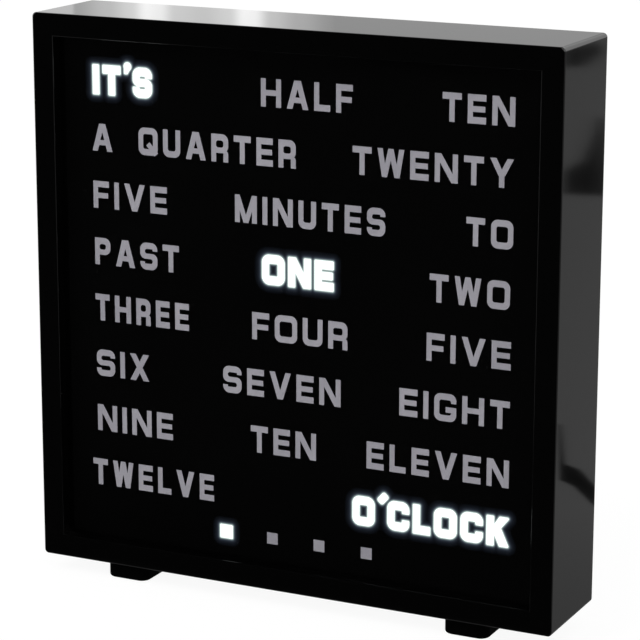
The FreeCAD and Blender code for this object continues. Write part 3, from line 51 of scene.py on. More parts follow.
# It stands two thirds of a metre in front of the clock, to its right and a little above it, behind a
# long lens that takes in the whole face and the right-hand side.
CAMERA_PLACE = (0.32763, -0.66645, 0.26615)
camera_data = bpy.data.cameras.new("camera")
camera_data.sensor_width = 36.0
camera_data.lens = 148.4
camera_data.clip_start = 0.05
camera_data.clip_end = 50.0
camera = bpy.data.objects.new("camera", camera_data)
camera_right = Vector((0.89872042, 0.43851748, 0.00201118))
camera_down = Vector((0.10642073, -0.21365039, -0.97109636))
camera_forward = Vector((-0.42541303, 0.87295816, -0.23867931))
turn = Matrix((camera_right, -camera_down, -camera_forward)).transposed()
camera.matrix_world = Matrix.Translation(CAMERA_PLACE) @ turn.to_4x4()
scene.collection.objects.link(camera)
scene.camera = camera

# ---------------------------------------------------------------- front case

# One ABS moulding with a mirror-polished black finish: four walls and the bezel. Its polish shows the
# studio as clear reflections that waver a little where the walls sank as they cooled.
MM = 0.001
# any moulding has broad, slightly lighter and darker patches, here 22 mm across
PATCHES_PER_METRE = 45.0
# the share by which the grain raises and lowers the roughness
GRAIN_SPREAD = 0.25


def linear(colour):
    """An sRGB hex colour as linear red, green and blue, with full alpha."""
    parts = [int(colour[place:place + 2], 16) / 255 for place in (1, 3, 5)]
    curved = [part / 12.92 if part <= 0.04045 else ((part + 0.055) / 1.055) ** 2.4 for part in parts]
    return (*curved, 1.0)


def add_node(tree, kind, inputs=None, **settings):
    """Add one shader node with its settings, and set or link its inputs."""
    made = tree.nodes.new(kind)
    for name, value in settings.items():
        setattr(made, name, value)
    for name, value in (inputs or {}).items():
        if isinstance(value, bpy.types.NodeSocket):
            tree.links.new(value, made.inputs[name])
        else:
            made.inputs[name].default_value = value
    return made


def new_material(name):
    """A material with an empty node tree."""
    material = bpy.data.materials.new(name)
    material.use_nodes = True
    material.node_tree.nodes.clear()
    return material, material.node_tree


def moulded_plastic(name, colour, roughness, grain, depth, ior=1.5, tint=0.12):
    """A moulded plastic whose grain is grain metres across and depth metres deep."""
    material, tree = new_material(name)
    place = add_node(tree, "ShaderNodeTexCoord").outputs["Object"]
    fine = add_node(tree, "ShaderNodeTexNoise", {"Vector": place, "Scale": 1 / grain, "Detail": 3.0})
    broad = add_node(
        tree, "ShaderNodeTexNoise", {"Vector": place, "Scale": PATCHES_PER_METRE, "Detail": 2.0}
    )
    shade = add_node(
        tree,
        "ShaderNodeMapRange",
        {"Value": broad.outputs["Fac"], "To Min": 1 - tint, "To Max": 1 + tint},
    )
    base = add_node(
        tree,
        "ShaderNodeVectorMath",
        {0: linear(colour)[:3], "Scale": shade.outputs["Result"]},
        operation="SCALE",
    )
    rough = add_node(
        tree,
        "ShaderNodeMapRange",
        {
            "Value": fine.outputs["Fac"],
            "To Min": roughness * (1 - GRAIN_SPREAD),
            "To Max": roughness * (1 + GRAIN_SPREAD),
        },
    )
    bump = add_node(
        tree, "ShaderNodeBump", {"Height": fine.outputs["Fac"], "Distance": depth, "Strength": 1.0}
    )
    surface = add_node(
        tree,
        "ShaderNodeBsdfPrincipled",
        {
            "Base Color": base.outputs["Vector"],
            "Roughness": rough.outputs["Result"],
            "IOR": ior,
            "Normal": bump.outputs["Normal"],
        },
    )
    add_node(tree, "ShaderNodeOutputMaterial", {"Surface": surface.outputs["BSDF"]})
    return material


def dress(node, material):
    """Give a CAD node its material."""
    mesh = nodes[node].data
    mesh.materials.clear()
    mesh.materials.append(material)


# the polish is drawn with broad shallow waves, 18 mm across and 4 micrometres deep
polished_abs = moulded_plastic(
    "polished_black_abs", "#020202", roughness=0.06, grain=18 * MM, depth=0.004 * MM
)
dress("front_case", polished_abs)

# ---------------------------------------------------------------- front window

# A flat sheet of clear cast acrylic, wiped clean, with the print on its back. Its front mirrors 4 % of
# the light that meets it squarely and more at a slant, and lets the rest through both ways.
WINDOW_CLEARANCE = 0.03 * MM
WINDOW_BEVEL = 0.15 * MM
BEVEL_SEGMENTS = 2
SMEARS_PER_METRE = 35.0
SQUARE_ON_SHARE = 0.04
SLANT_POWER = 5.0
WHITE = (1, 1, 1, 1)


def link_mesh(name, mesh):
    """A mesh as a new piece in the scene."""
    piece = bpy.data.objects.new(name, mesh)
    scene.collection.objects.link(piece)
    return piece


def bevelled_box(name, low, high, bevel):
    """A box with rounded edges, as a new piece."""
    mesh = bpy.data.meshes.new(name)
    shape = bmesh.new()
    bmesh.ops.create_cube(shape, size=1.0)
    placed = Matrix.Translation((high + low) / 2) @ Matrix.Diagonal((*(high - low), 1.0))
    bmesh.ops.transform(shape, matrix=placed, verts=shape.verts)
    bmesh.ops.bevel(
        shape, geom=shape.edges[:], offset=bevel, segments=BEVEL_SEGMENTS, affect="EDGES", profile=0.5
    )
    shape.to_mesh(mesh)
    shape.free()
    return link_mesh(name, mesh)


polished_acrylic, tree = new_material("polished_clear_acrylic")
place = add_node(tree, "ShaderNodeTexCoord").outputs["Object"]
smears = add_node(tree, "ShaderNodeTexNoise", {"Vector": place, "Scale": SMEARS_PER_METRE, "Detail": 4.0})
gloss_roughness = add_node(
    tree, "ShaderNodeMapRange", {"Value": smears.outputs["Fac"], "To Min": 0.02, "To Max": 0.06}
)
gloss = add_node(
    tree, "ShaderNodeBsdfGlossy", {"Color": WHITE, "Roughness": gloss_roughness.outputs["Result"]}
)
clear = add_node(tree, "ShaderNodeBsdfTransparent", {"Color": WHITE})
facing = add_node(tree, "ShaderNodeLayerWeight", {"Blend": 0.5})
steep = add_node(tree, "ShaderNodeMath", {0: facing.outputs["Facing"], 1: SLANT_POWER}, operation="POWER")
share = add_node(
    tree,
    "ShaderNodeMapRange",
    {"Value": steep.outputs["Value"], "To Min": SQUARE_ON_SHARE, "To Max": 1.0},
)
window_mix = add_node(
    tree,
    "ShaderNodeMixShader",
    {"Fac": share.outputs["Result"], 1: clear.outputs["BSDF"], 2: gloss.outputs["BSDF"]},
)
add_node(tree, "ShaderNodeOutputMaterial", {"Surface": window_mix.outputs["Shader"]})

# the back is bonded to the print and the edges are hidden by the bezel, so neither mirrors anything
bonded_acrylic, tree = new_material("printed_back_of_acrylic")
clear = add_node(tree, "ShaderNodeBsdfTransparent", {"Color": (0.99, 0.99, 0.99, 1)})
add_node(tree, "ShaderNodeOutputMaterial", {"Surface": clear.outputs["BSDF"]})
POLISHED_FACE, BONDED_FACE = 0, 1

window_low, window_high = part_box("front_window")
window_high.y -= WINDOW_CLEARANCE
window = bevelled_box("acrylic_window", window_low, window_high, WINDOW_BEVEL)
window.data.materials.append(polished_acrylic)
window.data.materials.append(bonded_acrylic)
for face in window.data.polygons:
    looks_forward = face.normal.y <= -0.5
    face.material_index = POLISHED_FACE if looks_forward else BONDED_FACE
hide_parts("front_window")
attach(window, "clock")

# ---------------------------------------------------------------- printed mask

# Black screen ink on the back of the window. It is dense and even, with the faint tooth that the mesh
# of the screen leaves; real mesh is 0.1 mm, too fine to show, so it is drawn four times as coarse.
# Bonded to the acrylic, the ink has next to no gloss of its own, hence its low index.
MESH_PITCH = 0.4 * MM
CLOUDS_PER_METRE = 14.0
ink, tree = new_material("black_screen_ink")
place = add_node(tree, "ShaderNodeTexCoord").outputs["Object"]
mesh_marks = add_node(
    tree,
    "ShaderNodeTexVoronoi",
    {"Vector": place, "Scale": 1 / MESH_PITCH, "Randomness": 0.2},
    feature="F1",
)
cloud = add_node(tree, "ShaderNodeTexNoise", {"Vector": place, "Scale": CLOUDS_PER_METRE, "Detail": 2.0})
ink_shade = add_node(
    tree, "ShaderNodeMapRange", {"Value": cloud.outputs["Fac"], "To Min": 0.0005, "To Max": 0.0014}
)
ink_base = add_node(
    tree, "ShaderNodeCombineColor", dict.fromkeys(("Red", "Green", "Blue"), ink_shade.outputs["Result"])
)
ink_bump = add_node(
    tree, "ShaderNodeBump", {"Height": mesh_marks.outputs["Distance"], "Distance": 0.003 * MM}
)
surface = add_node(
    tree,
    "ShaderNodeBsdfPrincipled",
    {
        "Base Color": ink_base.outputs["Color"],
        "Roughness": 0.45,
        "IOR": 1.03,
        "Normal": ink_bump.outputs["Normal"],
    },
)
add_node(tree, "ShaderNodeOutputMaterial", {"Surface": surface.outputs["BSDF"]})
dress("printed_mask", ink)

# ---------------------------------------------------------------- words and dots that are not lit

# Translucent ink fills the openings of the print. With no light behind it, it looks mid grey with a
# trace of violet, slightly uneven from letter to letter.
LIT_NODES = ["word_its", "word_one", "word_oclock", "minute_dot_1"]
UNLIT_WORDS = [
    name for name in nodes if name.startswith("word_") and name not in LIT_NODES + ["word_leds"]
]
UNEVEN_PER_METRE = 60.0
INK_TOOTH = 0.35 * MM
unlit, tree = new_material("translucent_ink_unlit")
place = add_node(tree, "ShaderNodeTexCoord").outputs["Object"]
drift = add_node(tree, "ShaderNodeTexNoise", {"Vector": place, "Scale": UNEVEN_PER_METRE, "Detail": 2.0})
tooth = add_node(tree, "ShaderNodeTexNoise", {"Vector": place, "Scale": 1 / INK_TOOTH, "Detail": 2.0})
unlit_ramp = add_node(tree, "ShaderNodeValToRGB", {"Fac": drift.outputs["Fac"]})
for stop, spot, colour in zip(unlit_ramp.color_ramp.elements, (0.3, 0.7), ("#9B99A1", "#A6A4AB")):
    stop.position = spot
    stop.color = linear(colour)
unlit_bump = add_node(tree, "ShaderNodeBump", {"Height": tooth.outputs["Fac"], "Distance": 0.004 * MM})
surface = add_node(
    tree,
    "ShaderNodeBsdfPrincipled",
    {
        "Base Color": unlit_ramp.outputs["Color"],
        "Roughness": 0.6,
        "IOR": 1.3,
        "Normal": unlit_bump.outputs["Normal"],
    },
)
add_node(tree, "ShaderNodeOutputMaterial", {"Surface": surface.outputs["BSDF"]})
for name in UNLIT_WORDS + ["minute_dots_2_to_4"]:
    dress(name, unlit)

# ---------------------------------------------------------------- words and dot that are lit

# The same ink with white LEDs behind it. Each LED makes its stretch a touch brighter. Round the letters
# a soft blue-white glow is painted on thin emitting sheets in the window, in place of light spreading
# there.
LED_PITCH = 12 * MM
LED_STRENGTH = 3.0
lit, tree = new_material("translucent_ink_lit")
place = add_node(tree, "ShaderNodeTexCoord").outputs["Object"]
spots = add_node(tree, "ShaderNodeTexNoise", {"Vector": place, "Scale": 1 / LED_PITCH, "Detail": 1.0})
lit_ramp = add_node(tree, "ShaderNodeValToRGB", {"Fac": spots.outputs["Fac"]})
for stop, spot, colour in zip(lit_ramp.color_ramp.elements, (0.3, 0.7), ("#F2FFFB", "#FCFFFF")):
    stop.position = spot
    stop.color = linear(colour)
surface = add_node(
    tree,
    "ShaderNodeBsdfPrincipled",
    {
        "Base Color": linear("#C9CCCC"),
        "Roughness": 0.6,
        "IOR": 1.3,
        "Emission Color": lit_ramp.outputs["Color"],
        "Emission Strength": LED_STRENGTH,
    },
)
add_node(tree, "ShaderNodeOutputMaterial", {"Surface": surface.outputs["BSDF"]})

# painted glow: a bright core hugs the letters and fades within a millimetre, and a faint rest runs to the
# reach
GLOW_PLANE = window_high.y - 0.02 * MM
GLOW_REACH = 4.0 * MM
GLOW_STEP = 0.2 * MM
GLOW_CORE = 0.34 * MM
GLOW_FADE = 0.21 * MM
GLOW_FAINTEST = 0.003
GLOW_STRENGTH = 1.4
FAINT_GLOW_SHARE = 0.075
FAINT_GLOW_FADE = 1.1 * MM
# the glow is painted: the sheet emits where it is strong and lets everything through where it is faint
painted_glow, tree = new_material("painted_glow_round_letters")
strength = add_node(tree, "ShaderNodeAttribute", attribute_name="painted_glow")
glow_ramp = add_node(tree, "ShaderNodeValToRGB", {"Fac": strength.outputs["Fac"]})
glow_ramp.color_ramp.elements[0].color = linear("#A3B7DC")
glow_ramp.color_ramp.elements[1].color = linear("#F8FFFD")
glow_ramp.color_ramp.elements.new(0.25).color = linear("#CDE6E2")
glow = add_node(
    tree, "ShaderNodeEmission", {"Color": glow_ramp.outputs["Color"], "Strength": GLOW_STRENGTH}
)
clear = add_node(tree, "ShaderNodeBsdfTransparent", {"Color": WHITE})
glow_mix = add_node(
    tree,
    "ShaderNodeMixShader",
    {"Fac": strength.outputs["Fac"], 1: clear.outputs["BSDF"], 2: glow.outputs["Emission"]},
)
add_node(tree, "ShaderNodeOutputMaterial", {"Surface": glow_mix.outputs["Shader"]})


def painted_glow_sheet(node):
    """A thin sheet in the window round a lit node, with a painted glow fading from its letters to
    nothing.
    """
    low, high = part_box(node)
    shape = bmesh.new()
    shape.from_mesh(nodes[node].data)
    letters = BVHTree.FromBMesh(shape)
    shape.free()
    columns = math.ceil((high.x - low.x + 2 * GLOW_REACH) / GLOW_STEP)
    rows = math.ceil((high.z - low.z + 2 * GLOW_REACH) / GLOW_STEP)
    points = []
    strengths = []
    for row in range(rows + 1):
        for column in range(columns + 1):
            x = low.x - GLOW_REACH + column * GLOW_STEP
            z = low.z - GLOW_REACH + row * GLOW_STEP
            _, _, _, distance = letters.find_nearest(Vector((x, low.y, z)))
            beyond = max(0.0, distance - GLOW_CORE)
            core = (1 - FAINT_GLOW_SHARE) * math.exp(-beyond / GLOW_FADE)
            faint_glow = FAINT_GLOW_SHARE * math.exp(-beyond / FAINT_GLOW_FADE)
            edge = 1 - min(1.0, distance / GLOW_REACH)
            points.append((x, GLOW_PLANE, z))
            strengths.append((core + faint_glow) * edge)
    faces = []
    for row in range(rows):
        for column in range(columns):
            first = row * (columns + 1) + column
            corners = (first, first + 1, first + columns + 2, first + columns + 1)
            if max(strengths[corner] for corner in corners) > GLOW_FAINTEST:
                faces.append(corners)
    mesh = bpy.data.meshes.new(f"{node}_spill")
    mesh.from_pydata(points, [], faces)
    mesh.attributes.new("painted_glow", "FLOAT", "POINT").data.foreach_set("value", strengths)
    mesh.materials.append(painted_glow)
    shape = bmesh.new()
    shape.from_mesh(mesh)
    unused = [point for point in shape.verts if not point.link_faces]
    bmesh.ops.delete(shape, geom=unused, context="VERTS")
    shape.to_mesh(mesh)
    shape.free()
    return link_mesh(f"{node}_painted_glow_sheet", mesh)


# each lit node gets its emitting letters and a sheet with the painted glow round them
for name in LIT_NODES:
    dress(name, lit)
    sheet = painted_glow_sheet(name)
    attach(sheet, "clock")

# ---------------------------------------------------------------- diffuser and light baffle

# The diffuser is opal acrylic with fine white scatter in it. The baffle is matt black ABS, left rough so
# that its cells swallow stray light.
opal_acrylic = moulded_plastic(
    "opal_acrylic", "#DDDEDC", roughness=0.5, grain=1.2 * MM, depth=0.01 * MM, tint=0.04
)
matt_abs = moulded_plastic("matt_black_abs", "#101011", roughness=0.75, grain=0.5 * MM, depth=0.03 * MM)
dress("diffuser_sheet", opal_acrylic)
dress("light_baffle", matt_abs)

# ---------------------------------------------------------------- circuit boards and their parts

# Glass-epoxy boards under green solder mask. The weave of the glass cloth shows as a faint check, and
# the copper tracks under the mask as paler lines.
WEAVE = 0.8 * MM
TRACK_SPACING = 6.25 * MM
board, tree = new_material("green_solder_mask_on_glass_epoxy")
place = add_node(tree, "ShaderNodeTexCoord").outputs["Object"]
weave = add_node(
    tree,
    "ShaderNodeTexChecker",
    {"Vector": place, "Scale": 1 / WEAVE, "Color1": linear("#0F4A26"), "Color2": linear("#125229")},
)
tracks = add_node(
    tree,
    "ShaderNodeTexBrick",
    {
        "Vector": place,
        "Scale": 1 / TRACK_SPACING,
        "Color1": weave.outputs["Color"],
        "Color2": weave.outputs["Color"],
        "Mortar": linear("#1B6B38"),
        "Mortar Size": 0.03,
    },
)
board_bump = add_node(tree, "ShaderNodeBump", {"Height": tracks.outputs["Fac"], "Distance": -0.03 * MM})
surface = add_node(
    tree,
    "ShaderNodeBsdfPrincipled",
    {
        "Base Color": tracks.outputs["Color"],
        "Roughness": 0.35,
        "Normal": board_bump.outputs["Normal"],
    },
)
add_node(tree, "ShaderNodeOutputMaterial", {"Surface": surface.outputs["BSDF"]})
for name in ("led_board", "control_board"):
    dress(name, board)

# smooth white resin round the LEDs' phosphor, glazed ceramic, dull epoxy, shrunk film, and nylon whose
# glass filling leaves it a little rough
led_resin = moulded_plastic(
    "white_led_package", "#E4DFC4", roughness=0.3, grain=0.6 * MM, depth=0.01 * MM, tint=0.06
)
ceramic = moulded_plastic(
    "glazed_resistor_ceramic", "#1C1D22", roughness=0.3, grain=0.4 * MM, depth=0.01 * MM
)
epoxy = moulded_plastic("moulded_chip_epoxy", "#1B1B1D", roughness=0.55, grain=0.3 * MM, depth=0.02 * MM)
sleeve = moulded_plastic(
    "shrunk_capacitor_sleeve", "#10182F", roughness=0.35, grain=1.5 * MM, depth=0.02 * MM
)
filled_nylon = moulded_plastic(
    "glass_filled_black_nylon", "#141415", roughness=0.5, grain=0.35 * MM, depth=0.02 * MM
)
dress("word_leds", led_resin)
dress("led_resistors", ceramic)
dress("power_capacitor", sleeve)
for name in ("led_drivers", "microcontroller"):
    dress(name, epoxy)
for name in (
    "board_header", "board_socket", "tact_switches", "brightness_switch", "hour_plunger", "minute_plunger"
):
    dress(name, filled_nylon)

# ---------------------------------------------------------------- bare and plated metal

# Drawn, rolled and turned metal pieces: the crystal's can, the battery contacts and springs, the
# socket's nut and the screws. Each shows fine lines along the way it was worked.
LINE_DEPTH = 0.004 * MM


def worked_metal(name, colour, roughness, line_pitch, stretch):
    """A metal with fine lines line_pitch metres apart, drawn out along the axes with a small stretch."""
    material, tree = new_material(name)
    place = add_node(tree, "ShaderNodeTexCoord").outputs["Object"]
    drawn = add_node(tree, "ShaderNodeMapping", {"Vector": place, "Scale": stretch})
    lines = add_node(
        tree,
        "ShaderNodeTexNoise",
        {"Vector": drawn.outputs["Vector"], "Scale": 1 / line_pitch, "Detail": 2.0},
    )
    rough = add_node(
        tree,
        "ShaderNodeMapRange",
        {"Value": lines.outputs["Fac"], "To Min": roughness * 0.7, "To Max": roughness * 1.4},
    )
    bump = add_node(tree, "ShaderNodeBump", {"Height": lines.outputs["Fac"], "Distance": LINE_DEPTH})
    surface = add_node(
        tree,
        "ShaderNodeBsdfPrincipled",
        {
            "Base Color": linear(colour),
            "Metallic": 1.0,
            "Roughness": rough.outputs["Result"],
            "Normal": bump.outputs["Normal"],
        },
    )
    add_node(tree, "ShaderNodeOutputMaterial", {"Surface": surface.outputs["BSDF"]})
    return material


# nickel is warm and bright, zinc greyer with a cold cast, and the drawn can is satin along its length
nickel = worked_metal("bright_nickel_plate", "#D6D2C8", 0.18, 0.3 * MM, (1.0, 1.0, 0.15))
zinc = worked_metal("blue_zinc_plate", "#B9BDC2", 0.32, 0.4 * MM, (1.0, 1.0, 1.0))
drawn_steel = worked_metal("drawn_steel_can", "#C9CACB", 0.25, 0.4 * MM, (0.15, 1.0, 1.0))
dress("clock_crystal", drawn_steel)
for name in ("battery_springs", "battery_contacts", "dc_socket_nut"):
    dress(name, nickel)
for name in ("cover_screws", "foot_screws", "board_screws"):
    dress(name, zinc)

# ---------------------------------------------------------------- leads

# Tinned copper wire in extruded PVC, one pair in red and one in black. The leads run from the battery
# contacts and the power socket to the control board, and the PVC has a soft, even gloss.
for node, name, colour in (
    ("black_leads", "extruded_black_pvc", "#161617"),
    ("red_leads", "extruded_red_pvc", "#A3161A"),
):
    dress(node, moulded_plastic(name, colour, roughness=0.4, grain=2.0 * MM, depth=0.02 * MM))

# ---------------------------------------------------------------- back cover and battery door

# ABS moulded in a spark-eroded tool: an even satin grain that hides scratches. The grain is 0.1 mm on
# the real part and is drawn at 0.35 mm so that it shows.
grained_abs = moulded_plastic(
    "spark_grained_black_abs", "#1A1A1C", roughness=0.5, grain=0.35 * MM, depth=0.06 * MM, tint=0.08
)
for name in ("rear_cover", "battery_door"):
    dress(name, grained_abs)

# ---------------------------------------------------------------- markings on the back

# Pad-printed words and signs in pale grey ink. They say what each control does, which pole of the plug
# is which, and which way the battery door opens.
PRINT_THICKNESS = 0.05 * MM
LETTER_SIZE = 3.4 * MM
LETTER_SWELL = 0.08 * MM
THIN_SPOT = 0.25 * MM
# turns what is drawn in x and y to the back of the clock, to be read from behind
FROM_BEHIND = Matrix(((-1, 0, 0, 0), (0, 0, 1, 0), (0, 1, 0, 0), (0, 0, 0, 1)))
cover_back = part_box("rear_cover")[1].y

pale_ink, tree = new_material("pad_printed_grey_ink")
place = add_node(tree, "ShaderNodeTexCoord").outputs["Object"]
thin_spots = add_node(
    tree, "ShaderNodeTexNoise", {"Vector": place, "Scale": 1 / THIN_SPOT, "Detail": 3.0}
)
pale_ramp = add_node(tree, "ShaderNodeValToRGB", {"Fac": thin_spots.outputs["Fac"]})
for stop, spot, colour in zip(pale_ramp.color_ramp.elements, (0.25, 0.55), ("#85868A", "#B9BABD")):
    stop.position = spot
    stop.color = linear(colour)
print_bump = add_node(
    tree, "ShaderNodeBump", {"Height": thin_spots.outputs["Fac"], "Distance": 0.01 * MM}
)
surface = add_node(
    tree,
    "ShaderNodeBsdfPrincipled",
    {
        "Base Color": pale_ramp.outputs["Color"],
        "Roughness": 0.55,
        "Normal": print_bump.outputs["Normal"],
    },
)
add_node(tree, "ShaderNodeOutputMaterial", {"Surface": surface.outputs["BSDF"]})


def print_on_back(name, mesh, x, z, body):
    """Lay a flat mesh, drawn in x and y, on the back of the clock round a point."""
    mesh.transform(Matrix.Translation((x, cover_back, z)) @ FROM_BEHIND)
    mesh.materials.clear()
    mesh.materials.append(pale_ink)
    piece = link_mesh(name, mesh)
    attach(piece, body)


def printed_word(name, text, x, z, body="clock"):
    """A word centred on a point."""
    curve = bpy.data.curves.new(name, "FONT")
    curve.body = text
    curve.size = LETTER_SIZE
    curve.align_x = "CENTER"
    curve.align_y = "CENTER"
    curve.extrude = PRINT_THICKNESS / 2
    curve.offset = LETTER_SWELL
    curve.resolution_u = 3
    drawn = bpy.data.objects.new(name, curve)
    scene.collection.objects.link(drawn)
    bpy.context.view_layer.update()
    mesh = bpy.data.meshes.new_from_object(drawn.evaluated_get(bpy.context.evaluated_depsgraph_get()))
    bpy.data.objects.remove(drawn)
    print_on_back(name, mesh, x, z, body)


def printed_sign(name, outlines, x, z, body="clock"):
    """A sign made of closed outlines, each a list of points in millimetres.

    Outlines that share a side join.
    """
    mesh = bpy.data.meshes.new(name)
    shape = bmesh.new()
    for outline in outlines:
        shape.faces.new([shape.verts.new((a * MM, b * MM, -PRINT_THICKNESS / 2)) for a, b in outline])
    bmesh.ops.remove_doubles(shape, verts=shape.verts[:], dist=0.001 * MM)
    lower_faces = shape.faces[:]
    rim = [edge for edge in shape.edges if len(edge.link_faces) == 1]
    thickness = Vector((0, 0, PRINT_THICKNESS))
    upper = {point: shape.verts.new(point.co + thickness) for point in shape.verts[:]}
    for face in lower_faces:
        shape.faces.new([upper[point] for point in face.verts])
    for first, second in [edge.verts for edge in rim]:
        shape.faces.new((first, second, upper[second], upper[first]))
    bmesh.ops.recalc_face_normals(shape, faces=shape.faces[:])
    shape.to_mesh(mesh)
    shape.free()
    print_on_back(name, mesh, x, z, body)


def bar(left, low, right, high):
    """An upright rectangle between two corners."""
    return [(left, low), (right, low), (right, high), (left, high)]


def on_circle(radius, angle, x=0.0):
    """A point on a circle round a point on the x axis."""
    return (x + radius * math.cos(angle), radius * math.sin(angle))


def ring(inner, outer, x=0.0, start=0.0, end=2 * math.pi):
    """The four-sided pieces of a flat ring or of an arc of it."""
    steps = 32
    angles = [start + (end - start) * step / steps for step in range(steps + 1)]
    return [
        [on_circle(inner, a, x), on_circle(outer, a, x), on_circle(outer, b, x), on_circle(inner, b, x)]
        for a, b in zip(angles, angles[1:])
    ]


def sun():
    """A ring with eight rays that narrow outwards, for brightness."""
    ray_foot, foot_spread = 1.35, 0.13
    ray_tip, tip_spread = 2.1, 0.09
    rays = []
    for number in range(8):
        angle = math.pi / 4 * number
        rays.append([
            on_circle(ray_foot, angle - foot_spread),
            on_circle(ray_tip, angle - tip_spread),
            on_circle(ray_tip, angle + tip_spread),
            on_circle(ray_foot, angle + foot_spread),
        ])
    return ring(0.65, 0.95) + rays


def polarity():
    """The sign for a plug whose middle is positive: minus, open ring, dot and plus."""
    pole, pole_inner, pole_outer = 4.2, 0.75, 0.95
    shell_inner, shell_outer = 1.15, 1.4
    dot_radius, half, reach = 0.5, 0.1, 0.5
    minus = ring(pole_inner, pole_outer, x=-pole) + [bar(-pole - reach, -half, -pole + reach, half)]
    quarter = [
        (half, half), (half, reach), (-half, reach), (-half, half), (-reach, half), (-reach, -half)
    ]
    cross = [(pole + a, b) for a, b in quarter + [(-a, -b) for a, b in quarter]]
    plus = ring(pole_inner, pole_outer, x=pole) + [cross]
    shell = ring(shell_inner, shell_outer, start=math.radians(35), end=math.radians(325))
    dot = [[on_circle(dot_radius, math.pi / 8 * number) for number in range(16)]]
    near_pole = pole - pole_outer
    lines = [bar(-near_pole, -half, -shell_outer, half), bar(dot_radius, -half, near_pole, half)]
    return minus + plus + shell + dot + lines


def middle_of(node):
    """The middle of a node's box."""
    low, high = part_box(node)
    return (low + high) / 2


# the labels hang below their controls, and those of the power socket a little lower, clear of its rim
controls_z = middle_of("hour_button").z
label_z = controls_z - 8.2 * MM
power_z = controls_z - 9.43 * MM
polarity_z = controls_z - 14.35 * MM
printed_word("mark_hour", "HOUR", middle_of("hour_button").x, label_z)
printed_word("mark_minute", "MIN", middle_of("minute_button").x, label_z)
printed_sign("mark_brightness", sun(), middle_of("brightness_knob").x, label_z)
printed_word("mark_power", "DC 5V", middle_of("dc_socket").x, power_z)
printed_sign("mark_polarity", polarity(), middle_of("dc_socket").x, polarity_z)

# an arrow on the door points down from its tongue, the way that the door swings
ARROW = [(0.0, -2.2), (1.9, 0.4), (0.6, 0.4), (0.6, 2.2), (-0.6, 2.2), (-0.6, 0.4), (-1.9, 0.4)]
door_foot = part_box("battery_door")[0].z
printed_sign("mark_door_arrow", [ARROW], 0.0, door_foot + 20 * MM, "door")
printed_word("mark_door_open", "OPEN", 0.0, door_foot + 14 * MM, "door")

# ---------------------------------------------------------------- buttons and brightness knob

# Satin grey ABS caps, polished a little on top by fingertips. The buttons stand on the plungers of
# their switches, and the knob is pressed on the slider of its own.
button_abs = moulded_plastic(
    "satin_grey_abs", "#6E6F73", roughness=0.38, grain=0.5 * MM, depth=0.02 * MM, tint=0.05
)
for name in ("hour_button", "minute_button", "brightness_knob"):
    dress(name, button_abs)

# ---------------------------------------------------------------- power socket

# A black nylon barrel with a plated pin down its middle, held in the cover by its nut. Whatever lies
# within the pin's reach of the axis is metal, and all the rest is moulded.
PIN_REACH = 1.06 * MM
NYLON_GRAIN = 0.35 * MM
socket_middle = middle_of("dc_socket")
socket, tree = new_material("black_nylon_with_plated_pin")
place = add_node(tree, "ShaderNodeTexCoord").outputs["Object"]
from_axis = add_node(
    tree,
    "ShaderNodeVectorMath",
    {0: place, 1: (socket_middle.x, 0, socket_middle.z)},
    operation="SUBTRACT",
)
flat = add_node(
    tree, "ShaderNodeVectorMath", {0: from_axis.outputs["Vector"], 1: (1, 0, 1)}, operation="MULTIPLY"
)
radius = add_node(tree, "ShaderNodeVectorMath", {0: flat.outputs["Vector"]}, operation="LENGTH")
is_pin = add_node(
    tree, "ShaderNodeMath", {0: radius.outputs["Value"], 1: PIN_REACH}, operation="LESS_THAN"
)
grain = add_node(tree, "ShaderNodeTexNoise", {"Vector": place, "Scale": 1 / NYLON_GRAIN, "Detail": 2.0})
# inputs 6 and 7 and output 2 of a mix are its colours
socket_colour = add_node(
    tree,
    "ShaderNodeMix",
    {"Factor": is_pin.outputs["Value"], 6: linear("#141416"), 7: linear("#D6D2C8")},
    data_type="RGBA",
)
socket_rough = add_node(
    tree, "ShaderNodeMapRange", {"Value": is_pin.outputs["Value"], "To Min": 0.45, "To Max": 0.2}
)
socket_bump = add_node(tree, "ShaderNodeBump", {"Height": grain.outputs["Fac"], "Distance": 0.01 * MM})
surface = add_node(
    tree,
    "ShaderNodeBsdfPrincipled",
    {
        "Base Color": socket_colour.outputs[2],
        "Metallic": is_pin.outputs["Value"],
        "Roughness": socket_rough.outputs["Result"],
        "Normal": socket_bump.outputs["Normal"],
    },
)
add_node(tree, "ShaderNodeOutputMaterial", {"Surface": surface.outputs["BSDF"]})
dress("dc_socket", socket)

# ---------------------------------------------------------------- battery cells

# Three steel cans in shrunk printed sleeves, head to tail. The sleeve rolls over both ends and leaves
# the plated ends bare, with the raised contact at the plus end.
CELL_COUNT = 3
CELL_SIDES = 72
CELL_LENGTH = 50.5 * MM
STEEL, BODY_SLEEVE, END_BAND, BAND_EDGE = range(4)
